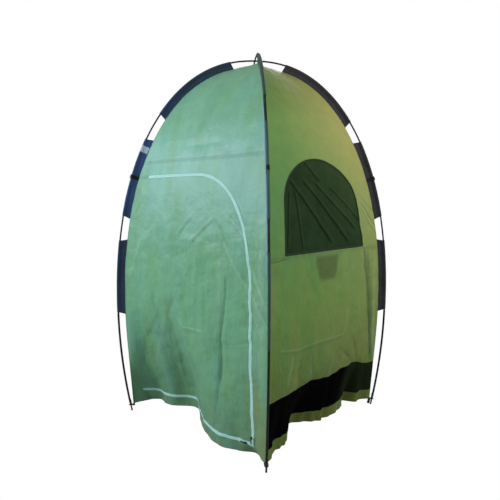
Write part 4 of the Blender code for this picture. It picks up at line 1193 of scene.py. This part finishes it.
def make_walls():
    gap = SEAM_GAP / 2
    heights = (HEM_HEIGHT, VENT_BOTTOM, VENT_TOP, WAIST_SEAM_HEIGHT, FRONT_SEAM_HEIGHT)
    hem, vent_bottom, vent_top, waist, front = (run_at(height) for height in heights)
    roof, door_wall = wall_outline(front + gap, CROWN_RUN), wall_outline(hem, front - gap)
    panel("roof_cloth", "front_roof", FRONT, roof, door_cloth, "door_cloth", "stretched")
    door_hole, door = to_run(door_outline(0.0)), to_run(door_outline(DOOR_GAP))
    panel("door_wall_cloth", "front_wall", FRONT, door_wall, door_cloth, "door_cloth", holes=(door_hole,))
    panel("door_cloth", "door_panel", FRONT, door, door_cloth, "door_cloth", body="door")
    upper, lower = wall_outline(waist + gap, CROWN_RUN), wall_outline(hem, waist - gap)
    hole = {"holes": (to_run(window_outline(0.0, WINDOW_BASE)),)}
    panel("window_wall_cloth", "window_panel", WINDOW, upper, window_cloth, held="stretched", **hole)
    net = to_run(window_outline(-SEAM_GAP, WINDOW_BASE + SEAM_GAP))
    taut = {"held": "stretched", "shape": net_shape}
    panel("window_netting", "window_mesh", WINDOW, net, window_net, "mesh_cloth", **taut)
    curtain = to_run(window_outline(CURTAIN_OVERLAP, CURTAIN_BASE))
    hinged = {"body": "curtain", "shape": curtain_shape}
    panel("window_curtain_cloth", "window_curtain", WINDOW, curtain, curtain_cloth, "curtain_cloth", **hinged)
    below, vent = wall_outline(vent_top + gap, waist - gap), wall_outline(vent_bottom + gap, vent_top - gap)
    panel("window_lower_cloth", "window_lower_wall", WINDOW, below, lower_cloth)
    panel("vent_netting", "vent_mesh", WINDOW, vent, vent_net, "mesh_cloth")
    panel("window_hem_cloth", "window_hem", WINDOW, wall_outline(hem, vent_bottom - gap), lower_cloth)
    for side, name, finish, slot in (
        (REAR, "rear", rear_cloth, "wall_cloth"),
        (LEFT, "left", left_cloth, "door_cloth"),
    ):
        names = f"{name}_upper_cloth", f"{name}_upper_wall"
        panel(*names, side, upper, finish, slot, "stretched", spacing=COARSE)
        panel(f"{name}_lower_cloth", f"{name}_lower_wall", side, lower, finish, slot, spacing=COARSE)


def net_shape(x, z):
    """The netting is drawn into long slanting creases, but lies flat where it is sewn in."""
    inner = np.clip((z - WINDOW_BASE) / 0.04, 0.0, 1.0)
    return -0.45 * creased(x, z, CURTAIN_CREASES) * inner + 0.002


def curtain_shape(x, z):
    rise = np.clip((z - CURTAIN_BASE) / CURTAIN_STANDOFF_RISE, 0.0, 1.0)
    return CURTAIN_DEPTH + rise * (CURTAIN_STANDOFF + creased(x, z, CURTAIN_CREASES))


def pocket_shape(x, z):
    """How far inside the wall's outer face the pocket lies: it bulges between its sewn sides."""
    share = (z - POCKET_BOTTOM) / (POCKET_TOP - POCKET_BOTTOM)
    half = POCKET_BOTTOM_HALF_WIDTH + (POCKET_TOP_HALF_WIDTH - POCKET_BOTTOM_HALF_WIDTH) * share
    across = np.minimum(1.0, np.abs(x - POCKET_CENTRE) / half)
    up = np.clip(share * 2.5, 0.0, 1.0)
    return 0.0012 + POCKET_BULGE * (1 - across**2) * up * (2 - up)


def make_pocket():
    left, right = (POCKET_CENTRE + side * POCKET_BOTTOM_HALF_WIDTH for side in (-1, 1))
    top_left, top_right = (POCKET_CENTRE + side * POCKET_TOP_HALF_WIDTH for side in (-1, 1))
    top = POCKET_TOP - 0.002
    corners = [(left, POCKET_BOTTOM), (right, POCKET_BOTTOM), (top_right, top), (top_left, top)]
    panel("pocket_cloth", "window_pocket", WINDOW, to_run(corners), lower_cloth, shape=pocket_shape)


# Zips and bindings on the walls


def zip_line():
    start = (DOOR_HINGE_X + ZIP_LOW_MARGIN, DOOR_BOTTOM)
    finish = (DOOR_HINGE_X + ZIP_TOP_MARGIN, DOOR_TOP)
    return to_run([ZIP_TAIL, start, *door_zip_line(), finish])


def zip_row(name, reach_in, reach_out, shift, body):
    """One side's row of zip teeth: small tapered blocks that reach across the gap between the tapes."""
    line = resampled(zip_line(), ZIP_SPACING)
    marks = lengths_along(line)
    stops = np.arange(TOOTH_PITCH / 2 + shift, marks[-1], TOOTH_PITCH)
    corners = []
    for reach, narrow in ((reach_in, TOOTH_TAPER), (reach_out, 1.0)):
        edge = beside(line, reach)
        for along in (-TOOTH_HALF_LENGTH, TOOTH_HALF_LENGTH):
            places = stops + along * narrow
            x, v = (np.interp(places, marks, edge[:, part]) for part in (0, 1))
            for out in TOOTH_HEIGHTS:
                corners.append(lifted(FRONT, x, v, out=out))
    points = np.stack(corners, 1).reshape(-1, 3)
    sides = ((0, 1, 3, 2), (4, 6, 7, 5), (0, 4, 5, 1), (2, 3, 7, 6), (1, 5, 7, 3), (0, 2, 6, 4))
    faces = [tuple(8 * tooth + corner for corner in face) for tooth in range(len(stops)) for face in sides]
    teeth = add_mesh(name, points, faces, zip_teeth, sharp=30)
    ride_or_bend(teeth, body)
    return teeth


def make_zip(half, body, near, width, *teeth_sizes):
    """Half of the zip: the tape from near its middle line out, and its row of teeth."""
    name = f"door_zip_{half}_strip"
    tape, length = ribbon(name, FRONT, zip_line(), near, near + width, zip_tape, body=body)
    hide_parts(f"door_zip_{half}_tape")
    teeth = zip_row(name + "_teeth", *teeth_sizes, body)
    flat = (ZIP_TAPE_WIDTH * SEWING_ROOM + 0.004, length * SEWING_ROOM)
    declare(flat, ZIP_TAPE_WIDTH * length)


def make_bindings():
    """The dark tape round the window, its doubled base, and the rolled seam beside the front corner, whose
    pale colour is a painted highlight.
    """
    corner, *rest = window_outline(0.0, WINDOW_BASE)
    base = [(WINDOW_CENTRE + side * WINDOW_BASE_HALF_WIDTH, WINDOW_BASE) for side in (-1, 1)]
    runs = np.linspace(run_at(CORNER_HIGHLIGHT_BOTTOM), run_at(CORNER_HIGHLIGHT_TOP), 60)
    edge = [(float(half_width(v)) - 0.0005, v) for v in runs]
    for name, side, line, near, far, finish, out in (
        ("window_binding", WINDOW, to_run([*rest, corner]), -0.0035, 0.006, binding, 0.0009),
        ("window_base_binding", WINDOW, to_run(base), -0.009, 0.005, binding, 0.0011),
        ("front_corner_seam_highlight", FRONT, edge, -0.007, -0.0005, pale_seam_highlight, 0.0016),
    ):
        tape, length = ribbon(name, side, line, near, far, finish, out)
        width = far - near
        flat = (max(width * SEWING_ROOM, 0.011), length * SEWING_ROOM)
        declare(flat, width * length)


make_walls()
middle = DOOR_GAP / 2
make_zip("wall", "tent", middle, ZIP_TAPE_WIDTH, -0.0011, 0.002, 0.0)
make_zip("door", "door", -DOOR_GAP - middle, -ZIP_TAPE_WIDTH, 0.0006, -0.0025, TOOTH_PITCH / 2)
make_bindings()
make_pocket()


# Poles, sleeves and corner tabs


def leg_directions(leg):
    angle = radians(LEGS[leg])
    return np.array((cos(angle), sin(angle), 0.0)), np.array((-sin(angle), cos(angle), 0.0))


def leg_points(leg, out, up, aside=0.0):
    """Points of a leg's upright plane in the row frame."""
    outward, square = leg_directions(leg)
    out, up, aside = np.broadcast_arrays(out, up, aside)
    return out[..., None] * outward + aside[..., None] * square + up[..., None] * np.array((0.0, 0.0, 1.0))


def pole_points(legs, along):
    """Points of a whole pole: negative distances from the crown lie on its first leg."""
    out, up = (np.interp(np.abs(along), ALONG, line) for line in POLE_LINES[legs[1]])
    return leg_points(legs[1], out * np.sign(along), up)


def tube(name, path, radii, square, finishes, splits=()):
    """A round tube along a path in one upright plane; finishes change at the splits of its rings."""
    tangent = np.gradient(path, axis=0)
    tangent /= np.linalg.norm(tangent, axis=1)[:, None]
    normal = np.cross(tangent, square)
    turns = np.linspace(0.0, 2 * pi, TUBE_SIDES + 1)[:-1, None]
    rings = path[:, None] + radii[:, None, None] * (np.cos(turns) * normal[:, None] + np.sin(turns) * square)
    last = (len(path) - 1) * TUBE_SIDES
    faces, which = [], []
    for ring in range(0, last, TUBE_SIDES):
        for side in range(TUBE_SIDES):
            a, b = ring + side, ring + (side + 1) % TUBE_SIDES
            faces.append((a, b, b + TUBE_SIDES, a + TUBE_SIDES))
            which.append(sum(ring >= split * TUBE_SIDES for split in splits))
    faces += [tuple(range(TUBE_SIDES))[::-1], tuple(range(last, last + TUBE_SIDES))]
    piece = add_mesh(name, rings.reshape(-1, 3), faces, finishes[0], sharp=40)
    for finish in finishes[1:]:
        piece.data.materials.append(finish)
    for face, index in zip(piece.data.polygons, which):
        face.material_index = index
    return piece


def make_pole(name, legs):
    """The sections of one pole, each but the last with the ferrule that takes the next."""
    square = leg_directions(legs[1])[1]
    length = 2 * HALF_LENGTH / POLE_SECTIONS
    foot = HALF_LENGTH - POLE_END
    steps = [sign * (LEG_TUBE_START + gap) for sign in (-1, 1) for gap in (-TUBE_STEP, TUBE_STEP)]
    for number in range(1, POLE_SECTIONS + 1):
        joint = number * length - HALF_LENGTH
        start = -foot if number == 1 else joint - length + PLUG_GAP
        last = number == POLE_SECTIONS
        swell = foot if last else joint - FERRULE_LENGTH / 2
        along = np.sort([*np.arange(start, swell, POLE_SPACING), *steps])
        along = along[(along >= start) & (along < swell)]
        radii = np.where(np.abs(along) > LEG_TUBE_START, LEG_TUBE_RADIUS, POLE_RADIUS)
        splits = () if last else (len(along),)
        if last:
            along, radii = np.append(along, foot), np.append(radii, LEG_TUBE_RADIUS)
        else:
            end = joint + FERRULE_LENGTH / 2
            along = np.append(along, [swell, swell + 0.0004, swell + 0.001, joint, end - 0.0006, end])
            radii = np.append(radii, FERRULE_RADIUS - np.array([0.0009, 0.0003, 0.0, 0.0, 0.0, 0.0003]))
        path, finishes = pole_points(legs, along), (pole_finish, ferrule_finish)
        piece = tube(f"{name}_rod_{number}", path, radii, square, finishes, splits)
        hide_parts(f"{name}_section_{number}")
        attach(piece, "tent")


def sewn(name, points, cloth, edge, faces, finish, thickness):
    """A piece of strap or cloth that rides on the tent, with its place on the cloth and from its edge."""
    layers = {"cloth": pairs(*cloth), "edge": pairs(*edge)}
    piece = add_mesh(name, points.reshape(-1, 3), faces, finish, layers, thickness)
    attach(piece, "tent")
    return piece


def sleeve_outline(swell):
    """A sleeve's cut round the pole, from the corner seam out, round and back: inset and aside."""
    radius = SLEEVE_RADIUS + swell
    turns = np.linspace(0.0, 1.9, 11)
    share = np.linspace(0.0, 1.0, 12)[1:]
    start_in, start_aside = -radius * cos(turns[-1]), radius * sin(turns[-1])
    inset = np.concatenate([-radius * np.cos(turns), start_in + (SLEEVE_REACH - start_in) * share])
    fin = FIN_HALF_THICKNESS + swell
    aside = np.concatenate([radius * np.sin(turns), fin + (start_aside - fin) * (1.0 - smooth(share / 0.42))])
    return np.concatenate([inset[::-1], inset[1:]]), np.concatenate([aside[::-1], -aside[1:]])


def sleeve_points(leg, along, inset, aside):
    """Points of a sleeve at distances along the leg, in from the pole and aside from its plane."""
    lines = (*POLE_LINES[leg], SEAM_OUT, SEAM_UP)
    pole_out, pole_up, seam_out, seam_up = (np.interp(along, ALONG, line) for line in lines)
    in_out, in_up = seam_out - pole_out, seam_up - pole_up
    reach = np.hypot(in_out, in_up)
    inset = np.where(inset > 0, inset * (reach + SEAM_BITE) / SLEEVE_REACH, inset) / reach
    return leg_points(leg, pole_out + in_out * inset, pole_up + in_up * inset, aside)


def wrap(name, leg, start, end, seed, finish, band=False):
    """Cloth folded round a pole and sewn into the corner seam, between two distances from the crown.

    A band is a heavier strap that lies smooth and square over the sleeve.
    """
    puckers, slanted, swell, thickness, slot = 1.0, SLEEVE_SLANT, 0.0, SLEEVE_THICKNESS, "sleeve_cloth"
    if band:
        puckers, slanted, swell, thickness, slot = 0.3, 0.0, BAND_SWELL, BAND_THICKNESS, "webbing"
    stops = np.concatenate([[start], np.arange(start + 0.001, end - 0.001, 0.006), [end]])
    inset, aside = sleeve_outline(swell)
    across = lengths_along(np.stack([inset, aside], 1))
    along, place = np.meshgrid(stops, across, indexing="ij")
    inset, aside = np.broadcast_to(inset, along.shape), np.broadcast_to(aside, along.shape)
    hem = np.minimum(along - start, end - along) < 0.01
    loose = 0.0011 * ripple(along, place, 0.03, seed) + 0.0007 * ripple(along, place, 0.012, seed + 1)
    loose = loose * puckers
    wave = puckers * 0.0022 * ripple(along, along * 0.0, 0.07, seed + 2) * smooth(inset / 0.03)
    slant = np.exp(-(end - along) / 0.04) - np.exp(-(along - start) / 0.04)
    points = sleeve_points(
        leg,
        along + slanted * slant * np.clip(inset / SLEEVE_REACH, 0.0, 1.0),
        inset - np.where(inset < 0, np.abs(loose) * 0.3, 0.0),
        aside + wave + np.sign(aside) * (loose * smooth((inset + 0.004) / 0.012) * 0.6 + 0.0005 * hem),
    )
    cloth = (along, place) if band else (place, along)
    edge = (np.minimum(place, across[-1] - place), along)
    piece = sewn(name, points, cloth, edge, grid_faces(*along.shape), finish, thickness)
    return piece, (float(across[-1]), float(end - start))


def make_label(leg, start):
    """A blank woven label sewn on the sleeve's outer face."""
    places, insets = start + np.linspace(*LABEL_PLACE, 13), np.linspace(-0.0035, 0.036, 14)
    along, inset = np.meshgrid(places, insets, indexing="ij")
    crown = SLEEVE_RADIUS * np.sqrt(1.0 - (np.minimum(inset, 0.0) / SLEEVE_RADIUS) ** 2)
    aside = FIN_HALF_THICKNESS + (crown - FIN_HALF_THICKNESS) * (1.0 - smooth(inset / 0.016)) + 0.0022
    aside = aside + 0.0006 * ripple(along, inset, 0.02, 91)
    off_ends = np.minimum(along - places[0], places[-1] - along)
    off_sides = np.minimum(inset - insets[0], insets[-1] - inset)
    edge = (np.minimum(off_ends, off_sides), along)
    faces = grid_faces(*along.shape, True)
    points = sleeve_points(leg, along, inset, aside)
    return sewn(leg + "_blank_label", points, (inset, along), edge, faces, label, CLOTH)


def make_guy_loop(leg):
    """The loop of narrow webbing on a sleeve's band that a guy line would tie to."""
    half = GUY_LOOP_WIDTH / 2
    shares, across = np.meshgrid(np.linspace(0.0, 1.0, 17), np.linspace(-half, half, 5), indexing="ij")
    middle = GUY_BAND_START + GUY_BAND_WIDTH / 2
    along = middle + (shares - 0.5) * GUY_LOOP_LENGTH * (1.0 - 0.45 * (1.0 - np.sin(pi * shares)) ** 3)
    base = np.sqrt((SLEEVE_RADIUS + GUY_LOOP_STANDOFF) ** 2 - across**2)
    bulge = GUY_LOOP_BULGE * np.sin(pi * shares) ** 0.7
    points = sleeve_points(leg, along, -base - bulge, across)
    edge = (half - np.abs(across), along)
    faces = grid_faces(*shares.shape)
    return sewn(leg + "_guy_loop", points, (across, along), edge, faces, strap, GUY_LOOP_THICKNESS)


def make_sleeves():
    for leg in LEGS:
        finish = SLEEVE_LIT_COPIES[leg]
        for number, (start, end) in enumerate(SLEEVE_ENDS, 1):
            drift = FIRST_SLEEVE_DRIFT[leg] if number == 1 else 0.0
            start, end = start + drift, end + drift
            seed = 7 * number + LEGS[leg]
            sleeve, flat = wrap(f"{leg}_sleeve_cloth_{number}", leg, start, end, seed, finish)
            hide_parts(f"{leg}_sleeve_{number}")
            extras = []
            if number == 2:
                band_end = GUY_BAND_START + GUY_BAND_WIDTH
                band, _ = wrap(leg + "_guy_band", leg, GUY_BAND_START, band_end, 5, strap, band=True)
                extras += [band, make_guy_loop(leg)]
                if leg == "left":
                    extras.append(make_label(leg, start))
            size = (flat[0] * SEWING_ROOM, flat[1] * SEWING_ROOM)
            declare(size, flat[0] * flat[1])


def foot_place(leg, inset, aside, up):
    """Points beside a foot: in from it and aside, and up its last stretch."""
    ends = (HALF_LENGTH - LAST_CHORD, HALF_LENGTH)
    (out, foot_out), (high, foot_up) = (np.interp(ends, ALONG, part) for part in POLE_LINES[leg])
    climb = np.array((out - foot_out, high - foot_up))
    climb /= np.hypot(*climb)
    place_out = foot_out - climb[1] * inset + climb[0] * up
    return leg_points(leg, place_out, foot_up + climb[0] * inset + climb[1] * up, aside)


def make_hanging_loop(leg):
    """A short strap that hangs in a loop under the tab's inner part."""
    drop, radius, middle = LOOP_DROP[leg], LOOP_HALF_GAP, TAB_INNER_REACH - LOOP_WIDTH / 2
    bottom = [(radius * cos(turn), radius - drop - radius * sin(turn)) for turn in np.linspace(0.0, pi, 9)]
    path = resampled([(radius, -0.0006), *bottom, (-radius, -0.0006)], 0.002)
    shares = np.linspace(-0.5, 0.5, 7)
    aside, up = np.tile(path.T, len(shares))
    inset = middle + np.repeat(shares * LOOP_WIDTH, len(path))
    aside = aside + 0.001 * ripple(inset, up, 0.02, LEGS[leg])
    points = foot_place(leg, inset, aside, TAB_HEIGHT + up)
    along = np.tile(lengths_along(path), len(shares))
    across = np.repeat((shares + 0.5) * LOOP_WIDTH, len(path))
    edge = (np.minimum(across, LOOP_WIDTH - across), along)
    faces = grid_faces(len(shares), len(path))
    return sewn(leg + "_peg_loop", points, (across, along), edge, faces, strap, LOOP_THICKNESS)


def make_tabs():
    """Webbing tabs under the cloth's corners, which hold the grommets, each with a loop for a peg."""
    half = TAB_WIDTH / 2
    nose = [(-TAB_OUTER_REACH * sin(t), half * cos(t)) for t in np.linspace(0.0, pi, 13)]
    outline = [(TAB_INNER_REACH, half), *nose, (TAB_INNER_REACH, -half)]
    hole = [(GROMMET_HOLE * cos(t), GROMMET_HOLE * sin(t)) for t in np.linspace(0, 2 * pi, 25)[:-1]]
    flat, triangles, edges = flat_layout(outline, (hole,), 0.002)
    inset, across = flat.T
    up = TAB_HEIGHT + 0.0007 + 0.0004 * ripple(inset, across, 0.012, 31)
    for leg in LEGS:
        points = foot_place(leg, inset, -across, up)
        tab = sewn(leg + "_tab_webbing", points, (across, inset), edges.T, triangles, strap, TAB_THICKNESS)
        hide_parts(leg + "_corner_tab")
        size = (TAB_WIDTH * 1.02, TAB_OUTER_REACH + TAB_INNER_REACH)
        loop = make_hanging_loop(leg)
        declare(size, surface_area(points, triangles))


make_pole("side_pole", ("left", "right"))
make_pole("front_pole", ("rear", "front"))
make_sleeves()
make_tabs()

# Finishes of the frame's own pieces
HARD_FINISHES = {
    "_pole_tip": tip_finish,
    "_grommet": grommet_finish,
    "_slider": slider_finish,
    "_pull": slider_finish,
    "_shock_cord": elastic,
}
for name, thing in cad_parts.items():
    for ending, finish in HARD_FINISHES.items():
        if name.endswith(ending):
            thing.material_slots[0].material = finish

# Camera, floor and light

CAMERA_PLACE = (1.9198, -2.2669, 1.2759)
CAMERA_ANGLES = (40.768, 90 - 5.349, 0.2476)
CAMERA_LENS = 34.983
SKY_STRENGTH = 0.32
FLOOR_HALF_WIDTH = 12.0

world = bpy.data.worlds.new("studio")
bpy.context.scene.world = world
world.use_nodes = True

camera = bpy.data.objects.new("camera", bpy.data.cameras.new("camera"))
bpy.context.scene.collection.objects.link(camera)
camera.location = CAMERA_PLACE
heading, pitch, roll = (radians(angle) for angle in CAMERA_ANGLES)
turn = Matrix.Rotation(heading, 4, "Z") @ Matrix.Rotation(pitch, 4, "X") @ Matrix.Rotation(roll, 4, "Z")
camera.rotation_euler = turn.to_euler()
camera.data.lens = CAMERA_LENS
bpy.context.scene.camera = camera


def white_to_camera(tree, shaded, output):
    """Plain white to the camera, also through glass, and a soft surface to everything else."""
    path = tree.nodes.new("ShaderNodeLightPath")
    rays = [Share(tree, path.outputs[f"Is {kind} Ray"]) for kind in ("Camera", "Transmission")]
    plain_kind = "Background" if shaded.bl_idname == "ShaderNodeBackground" else "Emission"
    plain = add_node(tree, plain_kind, {"Color": (1.0, 1.0, 1.0), "Strength": 1.0})
    choice = add_node(tree, "MixShader", {0: largest(rays), 1: Share(tree, shaded.outputs[0]), 2: plain})
    feed(output.inputs["Surface"], choice)


def make_stage():
    tree = world.node_tree
    sky = tree.nodes["Background"]
    sky.inputs["Color"].default_value = (0.93, 0.96, 1.0, 1.0)
    sky.inputs["Strength"].default_value = SKY_STRENGTH
    white_to_camera(tree, sky, tree.nodes["World Output"])
    mesh = bpy.data.meshes.new("floor")
    bm = bmesh.new()
    bmesh.ops.create_grid(bm, x_segments=4, y_segments=4, size=FLOOR_HALF_WIDTH)
    bm.to_mesh(mesh)
    bm.free()
    floor = bpy.data.objects.new("floor", mesh)
    PIECES.objects.link(floor)
    pale = bpy.data.materials.new("pale_floor")
    pale.use_nodes = True
    tree = pale.node_tree
    shader = tree.nodes["Principled BSDF"]
    shader.inputs["Base Color"].default_value = (0.55, 0.55, 0.55, 1.0)
    shader.inputs["Roughness"].default_value = 0.8
    white_to_camera(tree, shader, tree.nodes["Material Output"])
    mesh.materials.append(pale)


def add_light(name, place, target, size, power, colour):
    light = bpy.data.objects.new(name, bpy.data.lights.new(name, "AREA"))
    light.data.shape = "RECTANGLE"
    light.data.size, light.data.size_y = size
    light.data.energy = power
    light.data.color = colour
    light.location = place
    light.rotation_euler = (Vector(target) - Vector(place)).to_track_quat("-Z", "Y").to_euler()
    bpy.context.scene.collection.objects.link(light)


make_stage()
bpy.context.scene.view_settings.view_transform = "Standard"
add_light("key", (-2.6, -3.9, 3.1), (0, 0, 1.1), (1.5, 1.5), 150, (0.95, 0.98, 1.0))
add_light("side", (4.2, 0.9, 3.0), (0, 0, 1.1), (1.6, 1.6), 85, (1.0, 0.97, 0.9))
add_light("back", (-1.5, 3.6, 3.6), (0, 0, 1.4), (2.2, 2.2), 70, (1.0, 1.0, 1.0))
